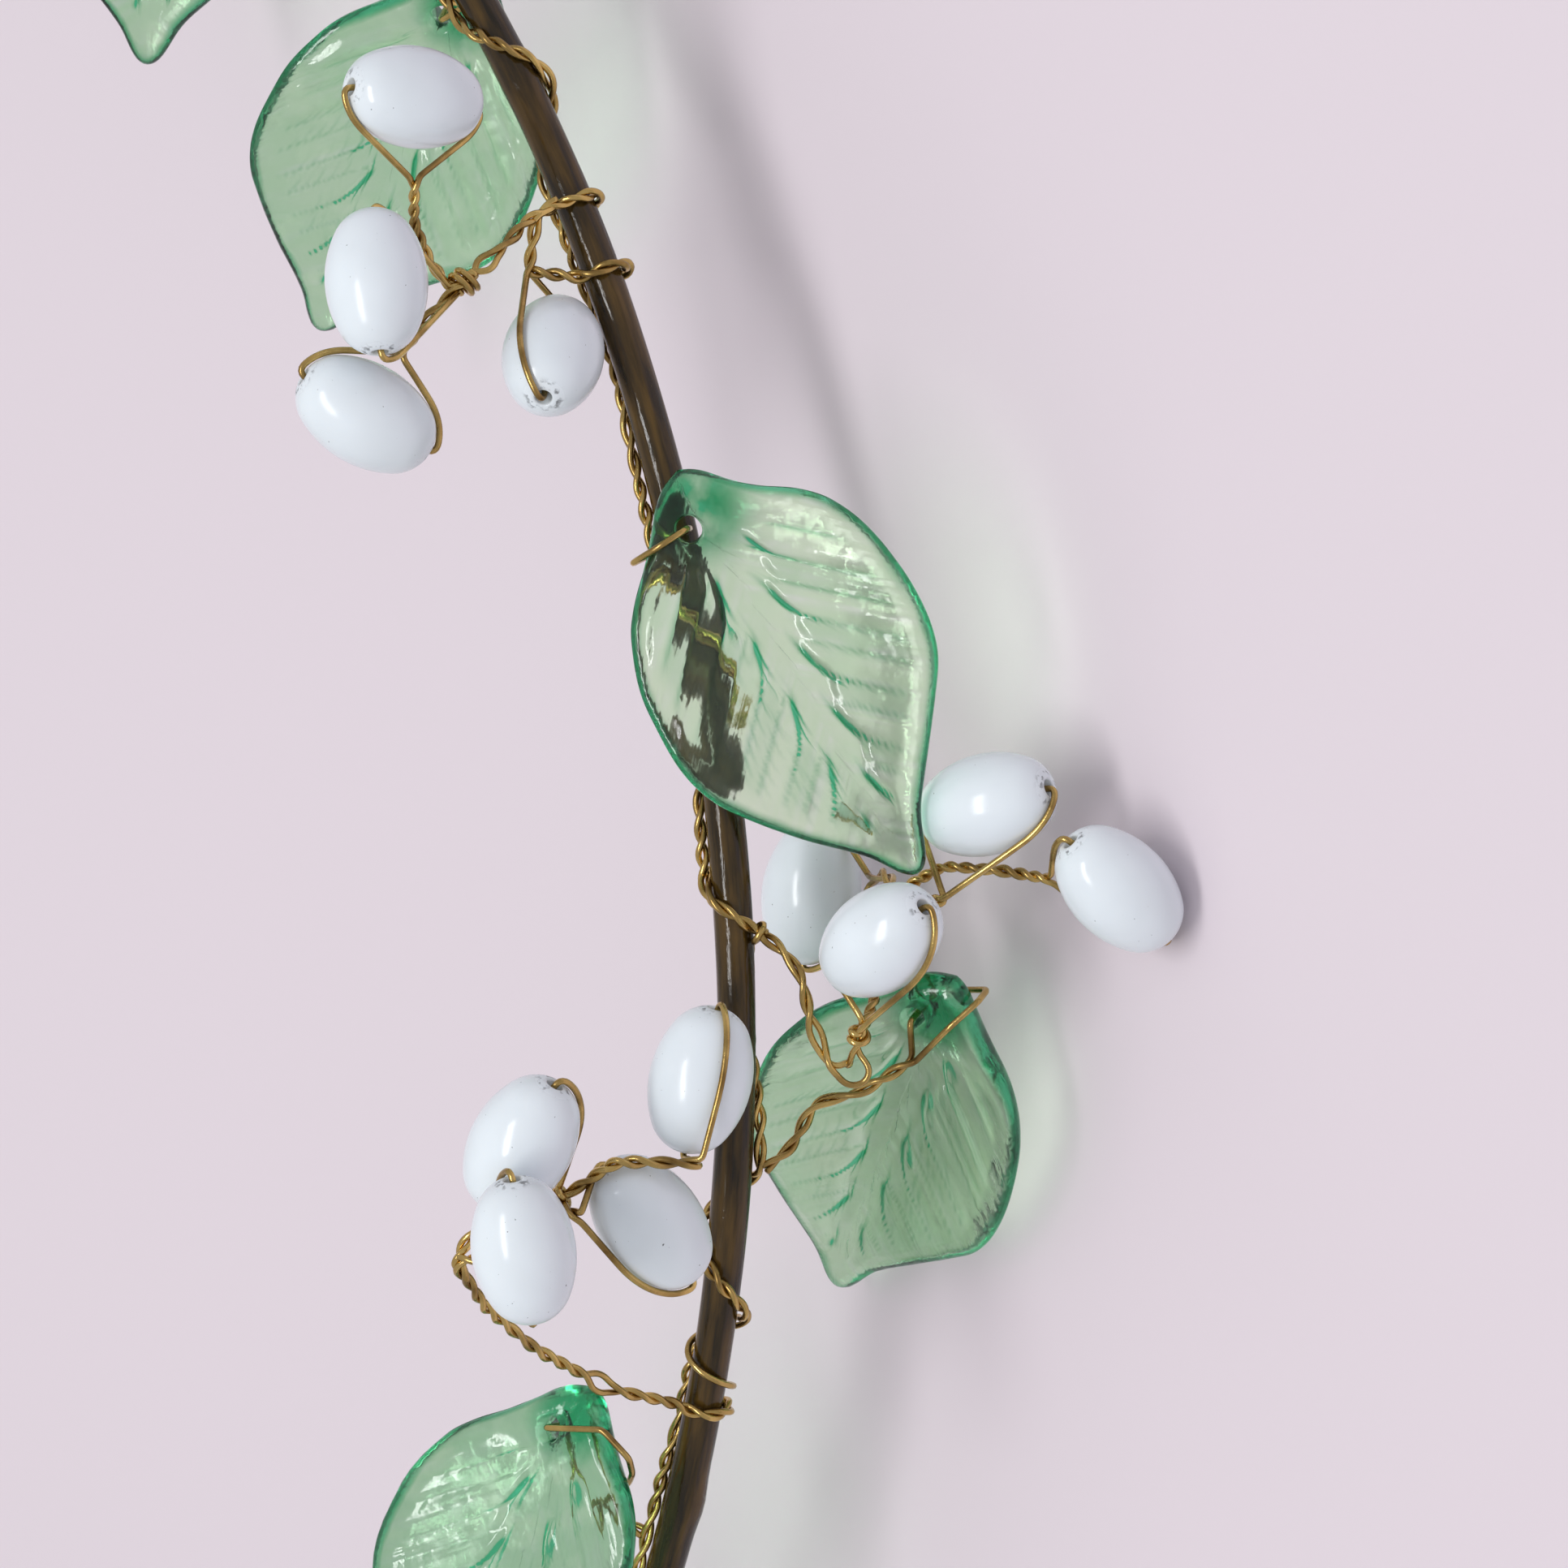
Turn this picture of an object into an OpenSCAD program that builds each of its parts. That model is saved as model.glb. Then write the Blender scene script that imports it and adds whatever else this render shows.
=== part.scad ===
// Hair crown: a lacquered ring of thin stem, wound over its front half with twisted brass wire
// that carries pressed glass leaves and sprigs of four oval white glass beads.
// The ring lies level on a table, held up by the leaves and beads that hang below it. The front is -Y,
// Z is up, z = 0 is the table, and the origin is under the middle of the head opening.

/* [Ring] */
// Radius of the stem's centre line round the right-hand half of the ring
ring_r = 92; // [88:1:98]
// Diameter of the stem
stem_d = 2.3; // [2:0.1:2.4]
// How far the left-hand end of the stem lies outside the other end, centre to centre
lap_off = 2.6; // [2.6:0.1:3]
// How far each end of the stem runs past the middle of the back, in degrees of the ring
lap_deg = 9; // [7:1:14]
// Height of the stem's centre line above the table
ring_h = 16.8; // [16.8:0.1:18]

/* [Wire] */
// Diameter of the single brass wire
wire_d = 0.4; // [0.3:0.02:0.44]
// Diameter of the twisted pair
pair_d = 0.8; // [0.6:0.05:0.85]
// Distance from the stem's centre line to the middle of the wire wound round it
wind_r = 1.75; // [1.75:0.05:1.9]

/* [Beads] */
// Diameter of a bead
bead_d = 6; // [5.6:0.1:6.1]
// Length of a bead
bead_l = 8.8; // [8:0.1:9]
// Diameter of the hole through a bead
bore_d = 1; // [0.9:0.1:1.3]

/* [Leaves] */
// Length of a leaf from the knob to the tip
leaf_l = 27.7; // [24:0.1:28]
// Width of a leaf
leaf_w = 17.2; // [15:0.1:18]
// Thickness of the blade
leaf_t = 1.5; // [1.2:0.1:1.8]
// Added thickness of the knob round the hole
knob_t = 1.1; // [0.8:0.1:1.3]
// Height of the side ribs on the front of a leaf
rib_h = 0.3; // [0.1:0.05:0.4]
// How far the rim of a leaf stands in front of its midrib
cup_h = 1.9; // [1:0.1:2.4]
// Diameter of the hole in the knob
eye_d = 1.5; // [1.3:0.1:1.6]

/* [Hidden] */
// Columns of SPRIGS: ring angle of the root, kind, 1 or -1 for the hand
SPRIGS = [[354, "c", -1], [328, "a", 1], [306, "b", -1], [287.4, "a", 1], [260, "b", 1],
          [242, "c", 1], [208.4, "a", 1], [199, "b", 1], [184, "a", -1]];
// Columns of LEAVES: ring angle, kind, 1 or -1 for the hand
LEAVES = [[360, "r", -1], [335, "q", 1], [316, "p", 1], [296, "p", 1], [275, "q", 1],
          [251, "t", 1], [236, "s", 1], [212, "q", -1], [190, "r", 1], [176, "p", -1]];

brass = "#a87f36";
side_turn = 40;
knot_turn = [41, 82, 11];

// Places beside the stem: x is outward from the ring, y runs counter-clockwise along it, z is up

// The left half turns about a middle half a lap further back, so that its end passes outside
function mid_y(th) = th > 90 && th < 270 ? lap_off / 2 : 0;
function mid_r(th) = ring_r + mid_y(th);

module beside(th) translate([0, mid_y(th), 0]) rotate(th) translate([mid_r(th), 0, 0]) children();

// A place beside the stem at ring angle th, in the ring's frame
function spot(th, p) = let (r = mid_r(th) + p[0])
    [r * cos(th) - p[1] * sin(th), mid_y(th) + r * sin(th) + p[1] * cos(th), p[2]];

// A place on a wire wound round the stem: y along it, side 0 facing outward and 90 facing up.
// Points up to 45 degrees apart lie out by the sag of the straight between them.
function beside_stem(y, side) = let (d = wind_r / cos(22.5)) [d * cos(side), y, d * sin(side)];

module laid() translate([0, 0, ring_h]) children();

// Wires: a ring of points about each point of a route

function unit(v) = v / norm(v);
function step(p, i) = i > 0 && i < len(p) ? unit(p[i] - p[i - 1]) : [0, 0, 0];
function heading(p, i) = unit(step(p, i) + step(p, i + 1));
function square_to(d, v) = unit(v - (v * d) * d);
function first_side(d) = square_to(d, abs(d[2]) < 0.8 ? [0, 0, 1] : [1, 0, 0]);
// A direction square to the route at each of its points, carried on with the least turn
function carried(p) = [for (i = 0, u = first_side(heading(p, 0)); i < len(p); i = i + 1,
    u = i < len(p) ? square_to(heading(p, i), u) : u) u];

// Sides of different wires are turned apart by their diameter, so that no two of them line up where they meet
module tube(p, d, n = 5) {
    u = carried(p);
    points = [for (i = [0:len(p) - 1]) let (h = heading(p, i), w = cross(h, u[i]))
        for (k = [0:n - 1]) let (a = 360 * k / n + side_turn * d) p[i] + d / 2 * (cos(a) * u[i] + sin(a) * w)];
    walls = [for (i = [0:len(p) - 2]) for (k = [0:n - 1]) let (a = i * n + k, b = i * n + (k + 1) % n)
        each [[a, b + n, b], [a, a + n, b + n]]];
    ends = [[for (k = [0:n - 1]) k], [for (k = [n - 1:-1:0]) (len(p) - 1) * n + k]];
    polyhedron(points, concat(walls, ends));
}

// The knot where a twisted pair parts into its two strands
module knot(p) translate(p) rotate(knot_turn) sphere(d = 1.5 * pair_d, $fn = 6);

// One mesh of several tubes that run into each other
module joined() resize([0, 0, 0]) union() children();

// Beads

function along(az, el) = [cos(el) * cos(az), cos(el) * sin(az), sin(el)];

// Half of the outline: a wide arc round the waist and a close arc over the end, met at cut_h.
// The end arc passes through the cut and the top, with its middle on the axis.
module bead_half() {
    waist_r = bead_l * bead_l / (2 * bead_d);
    cut_h = 0.34 * bead_l;
    cut_r = bead_d / 2 - waist_r + sqrt(waist_r * waist_r - cut_h * cut_h);
    top = bead_l / 2;
    end_y = (top * top - cut_h * cut_h - cut_r * cut_r) / (2 * (top - cut_h));
    difference() {
        union() {
            intersection() {
                translate([bead_d / 2 - waist_r, 0]) circle(waist_r, $fn = 96);
                square([bead_d, cut_h]);
            }
            intersection() {
                translate([0, end_y]) circle(top - end_y, $fn = 96);
                translate([0, cut_h]) square([bead_d, bead_l]);
            }
        }
        square([bore_d, 2 * bead_l + 1], center = true);
    }
}

module bead_solid() rotate_extrude($fn = 96) {
    bead_half();
    mirror([0, 1]) bead_half();
}

// Half of a bead's loop in the bead's own plane, from its knot at (x, y) to just off the end e = 1 or -1.
// It runs straight to an oval that is beside_bead larger than the bead, follows it, and turns in to the hole.
beside_bead = 0.6;
function leg(x, y, e) = let (
    a = bead_l / 2 + beside_bead, b = bead_d / 2 + beside_bead,
    far = norm([x / a, y / b]), from = atan2(y / b, e * x / a), touch = from - acos(1 / max(far, 1.001)),
    turns = max(0, ceil((touch - 30) / 40)))
    concat([[x + e * 0.55 * wire_d, y]],
        [for (i = [0:turns]) let (t = turns == 0 ? touch : touch + (30 - touch) * i / turns)
            if (t > 25) [e * a * cos(t), b * sin(t)]],
        [[e * (a + 0.15), 0]]);

// Sprigs. Columns of a bead row: centre, azimuth and elevation of its hole, knot of its loop.
// A kind is [hooks round the stem, stalks of twisted pair, bead rows], and each hook runs on into the
// stalk of its own number. Places are beside the stem at the sprig's root.
function sprig(kind) = kind == "a" ? [
    [[0, -130, 70], [-4.6, -130, 90]],
    [[[0, -0.5, 4], [-0.5, -2, 6.5], [-1, -2.5, 7.5], [-2.5, -3.5, 9.5]],
     [[-1.5, -3.2, 4.2], [0, -0.5, 4]],
     [[-2.5, -3.5, 9.5], [-3.5, -1, 9.5], [-2.5, 1, 10.5], [-0.5, 3, 11]],
     [[-2.5, -3.5, 9.5], [-4, -4.5, 11], [-5.4, -5.9, 12.7]]],
    [[[1.4, 7.3, 10.5], 105, 74, [-0.5, 3, 11]],
     [[-1.7, -2.7, 15.8], -101, 14, [-2.5, -3.5, 9.5]],
     [[-7.8, -8.4, 14.7], 100, 45, [-5.4, -5.9, 12.7]],
     [[-1.6, -8.6, 4.8], -72, 44, [-1.5, -3.2, 4.2]]]]
: kind == "b" ? [
    [[0, 200, -15]],
    [[[3, -1, -1], [4.5, -2.5, -1], [5, -5, -1], [6, -8, -1.5], [7, -8.5, -3], [7, -7, -2.5], [8.5, -5, -2]],
     [[7, -7, -2.5], [7, -3, -5], [7.5, 2, -6.5], [9, 3.3, -8.6], [12.3, 3, -10.3], [15, 2.5, -11.5]],
     [[7.5, 2, -6.5], [10.5, 1.5, -7]],
     [[7.5, 2, -6.5], [4, 2.5, -9], [0, 1.5, -11.5]]],
    [[[12, 7, -9.5], 15, -15, [10.5, 1.5, -7]],
     [[19, 2, -13], 110, 40, [15, 2.5, -11.5]],
     [[10.3, -0.1, -1.9], 31, 0, [8.5, -5, -2]],
     [[-4.5, 0.5, -11], 80, -5, [0, 1.5, -11.5]]]]
: [
    [[0, -130, 85]],
    [[[0, 0.5, 2.5], [-1.5, 1.5, 6.5], [-3, 4.5, 12], [-3.5, 8, 16.5], [-3.5, 11.5, 19.5], [-3.2, 13.8, 18.2],
      [-0.6, 15.6, 15], [2, 19, 13.5], [5, 19.5, 9.5]],
     [[-0.6, 15.6, 15], [1.5, 15.5, 15]],
     [[-3.5, 11.5, 19.5], [-2, 12.1, 19.1]]],
    [[[1.8, 23.1, 7.4], 95, -10, [5, 19.5, 9.5]],
     [[-0.9, 19.7, 18.4], 75, -10, [-0.6, 15.6, 15]],
     [[4.1, 15.8, 21.9], 105, 10, [-2, 12.1, 19.1]],
     [[2.8, 15, 10.5], 125, 30, [1.5, 15.5, 15]]]];

// A sprig of the other hand is the same one turned over along the stem
function handed(p, hand) = [p[0], hand * p[1], p[2]];

// The loop of one bead: out from the knot, through the bead and back
function loop_route(row) = let (
    c = row[0], a = along(row[1], row[2]), v = row[3] - c, x = v * a, s = unit(v - x * a), y = norm(v - x * a),
    out = leg(x, y, 1), back = leg(x, y, -1))
    [for (q = concat(out, [for (i = [len(back) - 1:-1:0]) back[i]])) c + q[0] * a + q[1] * s];

// A hook round the stem, a point every 45 degrees or less. Columns: place along the stem, first and last side
function hook_route(h) = let (n = ceil(abs(h[2] - h[1]) / 45))
    [for (i = [0:n]) beside_stem(h[0], h[1] + (h[2] - h[1]) * i / n)];

function routed(p, th, hand) = [for (q = p) spot(th, handed(q, hand))];

module sprig_wire(i) {
    th = SPRIGS[i - 1][0];
    hand = SPRIGS[i - 1][2];
    k = sprig(SPRIGS[i - 1][1]);
    color(brass) laid() joined() {
        for (j = [0:len(k[1]) - 1])
            tube(routed(concat(j < len(k[0]) ? hook_route(k[0][j]) : [], k[1][j]), th, hand), pair_d);
        for (row = k[2]) tube(routed(loop_route(row), th, hand), wire_d);
    }
}

module bead(i) {
    s = SPRIGS[floor((i - 1) / 4)];
    row = sprig(s[1])[2][(i - 1) % 4];
    color("#eef1f5") laid() beside(s[0]) translate(handed(row[0], s[2]))
        rotate([0, 90 - row[2], s[2] * row[1]]) bead_solid();
}

// Leaves. Columns of LEAF_OUT: distance from the hole towards the tip as a part of the length,
// half width and sideways shift of the middle as parts of half the width
LEAF_OUT = [[-0.115, 0, 0.16], [-0.106, 0.1, 0.14], [-0.094, 0.17, 0.12], [-0.054, 0.27, 0.1],
            [-0.005, 0.41, 0.1], [0.024, 0.52, 0.11], [0.054, 0.65, 0.12], [0.108, 0.81, 0.11],
            [0.177, 0.91, 0.1], [0.238, 0.97, 0.08], [0.332, 1, 0.07], [0.415, 1, 0.05], [0.487, 0.95, 0.04],
            [0.527, 0.89, 0.03], [0.61, 0.69, 0], [0.686, 0.49, -0.02], [0.765, 0.26, -0.02],
            [0.798, 0.19, 0], [0.848, 0.12, 0], [0.874, 0.06, 0], [0.885, 0, 0]];
BANDS = 18;
ACROSS = [-1, -0.86, -0.45, 0, 0.45, 0.86, 1];

function out_col(c) = [for (r = LEAF_OUT) [r[0], r[c]]];
function half_w(x) = leaf_w / 2 * lookup(x / leaf_l, out_col(1));
function shift_y(x) = leaf_w / 2 * lookup(x / leaf_l, out_col(2));
function mid_x(s) = leaf_l * (LEAF_OUT[0][0] + s);
// The rim lies further on than the midrib point of the same band, so the ribs slant forward
function rim_x(s) = mid_x(s + 0.2 * sin(180 * s));
function thick(x) = leaf_t + knob_t * exp(-pow(x / 2.4, 2));

// A point of the front (f = 1) or the back (f = -1) of a leaf, band s of 0 to 1, v across
function leaf_point(s, v, f, rib) = let (
    x = mid_x(s) + (rim_x(s) - mid_x(s)) * abs(v), y = half_w(rim_x(s)) * v,
    mid = cup_h * pow(abs(2 * y / leaf_w), 1.7) - 1.2 * pow(max(0, x - 5) / 19.5, 2),
    full = thick(x) / 2 * sqrt(1 - pow(v, 6)) * min(1, 4 * s + 0.4, 8 * (1 - s) + 0.2))
    [x, y + shift_y(x), mid + f * full + (f > 0 && abs(v) < 0.9 ? rib : 0)];

module leaf_solid() {
    m = len(ACROSS);
    rows = [for (i = [1:BANDS - 1]) i];
    // Front rows and back rows share the rim points, the first and the last of each front row
    front = [for (i = rows) for (v = ACROSS)
        leaf_point(i / BANDS, v, 1, i > 3 && i % 2 == 0 && abs(v) > 0.1 ? rib_h : 0)];
    back = [for (i = rows) for (v = [for (j = [1:m - 2]) ACROSS[j]]) leaf_point(i / BANDS, v, -1, 0)];
    ends = [leaf_point(0, 0, 0, 0), leaf_point(1, 0, 0, 0)];
    nf = len(front);
    b = m - 2;
    head = nf + len(back);
    function fp(r, j) = r * m + j;
    function bp(r, j) = j == 0 ? fp(r, 0) : j == m - 1 ? fp(r, m - 1) : nf + r * b + j - 1;
    last = len(rows) - 1;
    top = [for (r = [0:last - 1]) for (j = [0:m - 2])
        each [[fp(r, j), fp(r + 1, j), fp(r + 1, j + 1)], [fp(r, j), fp(r + 1, j + 1), fp(r, j + 1)]]];
    under = [for (r = [0:last - 1]) for (j = [0:m - 2])
        each [[bp(r, j), bp(r + 1, j + 1), bp(r + 1, j)], [bp(r, j), bp(r, j + 1), bp(r + 1, j + 1)]]];
    near = [for (j = [0:m - 2]) each [[head, fp(0, j), fp(0, j + 1)], [head, bp(0, j + 1), bp(0, j)]]];
    far = [for (j = [0:m - 2])
        each [[head + 1, fp(last, j + 1), fp(last, j)], [head + 1, bp(last, j), bp(last, j + 1)]]];
    polyhedron(concat(front, back, ends), [for (t = concat(top, under, near, far)) [t[0], t[2], t[1]]]);
}

// A kind of leaf: hole, azimuth and elevation of the tip, roll about that line, stalk of twisted pair,
// and the loop of single wire from the stalk's end through the hole, in the leaf's own frame
function leaf_kind(kind) = kind == "p" ? [[-5, 3.5, -2.7], -160, 0, -40,
    [[-1.5, 3, 1.1], [-2.1, 2.3, -0.3], [-2, 1.5, -1.7]],
    [[-2.6, 1.6, 2.2], [0, 0, 1.8], [0, 0, -1.8], [-3.9, 1.4, -0.9]]]
: kind == "q" ? [[2.95, -0.85, 1.95], -78, -17, -40,
    [[-1.3, -1.5, 1.38]],
    [[-0.1, -3.9, 0.7], [0, -1.8, 1.9], [0, 0, 1.5], [0, 0, -1.75], [-0.1, -1.2, -1.9], [-0.2, -2.2, -2.35]]]
: kind == "r" ? [[6.5, 10, -8.4], -119, -13, -50,
    [[1.32, 0.4, -1.36], [1.9, 1.6, -2.9], [2.2, 4.2, -4.3], [4.7, 5.4, -5.8], [6.5, 7, -7.5]],
    [[0.8, 3.6, 2.4], [-0.6, 5.3, 0.7], [-0.8, 3.8, -1.7], [0, 0, -1.8], [0, 0, 1.7]]]
: kind == "t" ? [[6.4, 10.5, -8.6], -116, -11, -25,
    [[1.32, 0.4, -1.36], [1.9, 1.6, -2.9], [2.2, 4.2, -4.3], [4.7, 5.3, -5.6], [6.9, 7.5, -7.6]],
    [[-1.2, 2.4, 2.1], [-3, 3.3, 0.8], [-2.7, 3.2, -0.9], [-0.8, 1.2, -1.8], [0, 0, -1.75], [0, 0, 1.75]]]
: [[-6.4, 5.9, 5.3], -87, 11, -11,
    [[-1.3, 0.5, 1.3], [-2.4, 0.8, 2], [-3.6, 1.3, 2.9]],
    [[1.4, 5.1, -1.1], [0.3, 5.8, 0.2], [-0.8, 5.8, 1.3], [-1.8, 3.8, 2], [0, 0, 1.75], [0, 0, -1.75]]];

// The leaf's frame turned into the frame beside the stem
function leaf_spot(k, q) = let (a = along(k[1], k[2]), h = [-sin(k[1]), cos(k[1]), 0], n = cross(a, h))
    k[0] + q[0] * a + q[1] * (cos(k[3]) * h + sin(k[3]) * n) + q[2] * (cos(k[3]) * n - sin(k[3]) * h);

module leaf(i) {
    th = LEAVES[i - 1][0];
    hand = LEAVES[i - 1][2];
    k = leaf_kind(LEAVES[i - 1][1]);
    color("#8fc29a") laid() beside(th) mirror([0, hand < 0 ? 1 : 0, 0])
        translate(k[0]) rotate([0, 0, k[1]]) rotate([0, -k[2], 0]) rotate([k[3], 0, 0]) difference() {
            leaf_solid();
            cylinder(d = eye_d, h = 8, center = true, $fn = 48);
        }
}

// The wire wound along the stem. Columns of WINDING: ring angle, side angle counted on through each turn.
WINDING = [[366, 855], [359.7, 674], [355.5, 535], [352.5, 535], [334.1, 490], [329.5, 175], [323, 175],
           [317.9, 143], [307.5, -103], [304.5, -103], [297.9, -217], [296, -226], [293.8, -316], [292.3, -406],
           [290.8, -496], [289, -545], [284, -545], [281, -535], [276.5, -575], [274.1, -590], [271, -676],
           [268.5, -766], [266.5, -856], [264.7, -925], [261.5, -930], [260, -823], [256, -833], [251.3, -766],
           [250, -856], [248.6, -946], [247, -1036], [245.6, -1126], [244.6, -1216], [243.4, -1265],
           [240.6, -1265], [239, -1290], [234.1, -1320], [212.9, -1670], [209.5, -1625], [203, -1625],
           [200.5, -1543], [197.5, -1543], [190.3, -1846], [188.5, -1985], [182.5, -1985], [174.1, -2017],
           [171.5, -2140]];

// Points of the winding between two rows, no more than 45 degrees of turn or 4 degrees of ring apart
function between(a, b) = let (n = max(ceil(abs(b[1] - a[1]) / 45), ceil(abs(b[0] - a[0]) / 4)))
    [for (i = [0:n - 1]) a + (b - a) * i / n];
function winding() = let (last = len(WINDING) - 1)
    [for (q = concat([for (i = [0:last - 1]) each between(WINDING[i], WINDING[i + 1])], [WINDING[last]]))
        spot(q[0], beside_stem(0, q[1]))];

module vine_wire() color(brass) laid() joined() {
    tube(winding(), pair_d);
    for (row = LEAVES) {
        k = leaf_kind(row[1]);
        stalk = k[4];
        end = stalk[len(stalk) - 1];
        // The two ends of the loop lie side by side in the knot
        apart = 0.55 * wire_d * unit(leaf_spot(k, k[5][0]) - leaf_spot(k, k[5][len(k[5]) - 1]));
        if (len(stalk) > 1) tube(routed(stalk, row[0], row[2]), pair_d);
        tube(routed(concat([end + apart], [for (q = k[5]) leaf_spot(k, q)], [end - apart]), row[0], row[2]), wire_d);
        knot(spot(row[0], handed(end, row[2])));
    }
}

// Ring angles of the stem's knuckles
KNUCKLES = [20, 325.5, 292.7, 270, 238, 209, 160];

module stem() color("#4a3325") laid() {
    for (th = KNUCKLES) beside(th) sphere(d = stem_d + 0.2, $fn = 48);
    rotate(-90) rotate_extrude(angle = 180 + lap_deg, $fn = 180)
        translate([ring_r, 0]) circle(d = stem_d, $fn = 48);
    translate([0, lap_off / 2, 0]) rotate(90 - lap_deg) rotate_extrude(angle = 180 + lap_deg, $fn = 180)
        translate([ring_r + lap_off / 2, 0]) circle(d = stem_d, $fn = 48);
}

// Wire bound round both ends of the stem in eight-sided turns
function bound(th, turns) = let (n = 8 * turns, r = (stem_d / 2 + wire_d / 2 + 0.1) / cos(22.5))
    [for (i = [0:n]) let (s = 22.5 + 360 * i / 8, x = ring_r + lap_off / 2 * (1 + sign(cos(s))) + r * cos(s),
        t = th + (i / n - 0.5) * 1.9) [x * cos(t), x * sin(t), r * sin(s)]];

module binding_left() color(brass) laid() tube(bound(95, 5), wire_d);
module binding_right() color(brass) laid() tube(bound(85, 5), wire_d);

stem();
binding_left();
binding_right();
vine_wire();
for (i = [1:len(LEAVES)]) leaf(i);
for (i = [1:len(SPRIGS)]) sprig_wire(i);
for (i = [1:4 * len(SPRIGS)]) bead(i);
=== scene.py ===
import bpy
import numpy as np
from mathutils import Matrix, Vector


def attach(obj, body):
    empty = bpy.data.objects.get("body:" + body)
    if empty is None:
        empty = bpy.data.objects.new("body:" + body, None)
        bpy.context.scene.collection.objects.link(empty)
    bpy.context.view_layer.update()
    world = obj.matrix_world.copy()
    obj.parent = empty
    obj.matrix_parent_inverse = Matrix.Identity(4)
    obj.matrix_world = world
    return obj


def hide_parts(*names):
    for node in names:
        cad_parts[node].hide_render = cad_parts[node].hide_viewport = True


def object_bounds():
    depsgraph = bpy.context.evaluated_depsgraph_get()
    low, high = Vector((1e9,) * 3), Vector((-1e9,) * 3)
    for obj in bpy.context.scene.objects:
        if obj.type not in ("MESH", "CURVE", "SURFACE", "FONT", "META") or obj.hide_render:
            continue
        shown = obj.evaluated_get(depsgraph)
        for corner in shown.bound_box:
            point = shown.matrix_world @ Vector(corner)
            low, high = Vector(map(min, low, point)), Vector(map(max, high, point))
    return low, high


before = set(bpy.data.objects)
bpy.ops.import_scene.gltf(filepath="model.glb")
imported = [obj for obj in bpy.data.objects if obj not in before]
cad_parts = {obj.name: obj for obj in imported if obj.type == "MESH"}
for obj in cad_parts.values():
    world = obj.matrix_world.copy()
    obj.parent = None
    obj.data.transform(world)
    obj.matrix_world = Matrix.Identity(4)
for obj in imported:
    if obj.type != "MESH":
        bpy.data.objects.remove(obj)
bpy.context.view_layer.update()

print("frame loaded:", len(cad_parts), "nodes")

# Lengths are in millimetres until they go into a mesh, a light or the camera
perMetre = 1000

ring = {
    "radius": 92,  # centre line of the stem, right-hand half
    "lap": 2.6,  # how far the left-hand end lies outside the other
    "lapDegrees": 9,  # how far each end runs past the middle of the back
    "height": 16.8,  # centre line above the table
}


# Rows divided by their own length
def unit(rows):
    return rows / np.linalg.norm(rows, axis=-1, keepdims=True)


# Places (outward, along the ring, up) turned by the ring angle and moved to the ring, which is wider by the shift and
# lies back by as much
def onRing(theta, shift, places):
    out, turn = ring["radius"] + shift + places[:, 0], np.radians(theta)
    return np.stack([out * np.cos(turn) - places[:, 1] * np.sin(turn),
                     shift + out * np.sin(turn) + places[:, 1] * np.cos(turn),
                     places[:, 2] + ring["height"]], 1)


# Places beside the stem, where the shift is half a lap for ring angles of 90 to 270
def spot(theta, places):
    turned = np.mod(theta, 360)
    shift = np.where((turned > 90) & (turned < 270), ring["lap"] / 2, 0.0)
    return onRing(theta, shift, np.atleast_2d(np.asarray(places, float)))


# Places with their distance along the stem times the hand
def handed(places, hand):
    return np.asarray(places, float) * [1, hand, 1]


# A bell curve, 1 in the middle: e to the minus power of the value over the width
def bell(value, width, power=2):
    return np.exp(-(value / width) ** power)


# Length gone along a line at each of its points: running sum of the straights
def lengthGone(line):
    return np.append(0, np.cumsum(np.linalg.norm(np.diff(line, axis=0), axis=1)))


# A line at even steps: each coordinate interpolated over the length gone
def evenly(line, gap, fewest=6):
    line = np.asarray(line, float)
    gone = lengthGone(line)
    at = np.linspace(0, gone[-1], max(int(round(gone[-1] / gap)), fewest) + 1)
    return np.stack([np.interp(at, gone, line[:, k]) for k in range(line.shape[1])], 1)


# Corners rounded off: twice the running mean over reach, with the line turned about its ends so that they stay
def eased(line, gap, reach):
    line = evenly(line, gap)
    half = min(max(int(reach / gap / 2), 1), len(line) - 2)
    for again in range(2):
        longer = np.vstack([2 * line[0] - line[half:0:-1], line, 2 * line[-1] - line[-2:-half - 2:-1]])
        total = np.vstack([np.zeros((1, 3)), np.cumsum(longer, axis=0)])
        line = (total[2 * half + 1:] - total[:-2 * half - 1]) / (2 * half + 1)
    return line


# The guide made square to the line's tangent, a central difference, and their cross product. Without a guide it is the
# direction that the line runs least in.
def squareTo(line, guide=None):
    tangent = unit(np.gradient(line, axis=0))
    if guide is None:
        guide = np.linalg.eigh(tangent.T @ tangent)[1][:, 0]
    side = unit(guide - tangent * np.sum(tangent * guide, axis=1, keepdims=True))
    return side, np.cross(tangent, side)


# Those two turned back by the running sum of their own turns about the line
def carried(line):
    side, over = squareTo(line)
    step = np.arctan2(np.sum(side[1:] * over[:-1], axis=1), np.sum(side[1:] * side[:-1], axis=1))
    back = np.append(0, np.cumsum(step))[:, None]
    return np.cos(back) * side - np.sin(back) * over, np.sin(back) * side + np.cos(back) * over


# Faces of a grid of rings: four neighbours each, the last of a ring joined to its first
def ringFaces(rings, around, closed=False):
    i, k = np.meshgrid(np.arange(rings if closed else rings - 1), np.arange(around), indexing="ij")
    near, far, beyond = i * around, (i + 1) % rings * around, (k + 1) % around
    return np.stack([near + k, near + beyond, far + beyond, far + k], -1).reshape(-1, 4)


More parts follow.
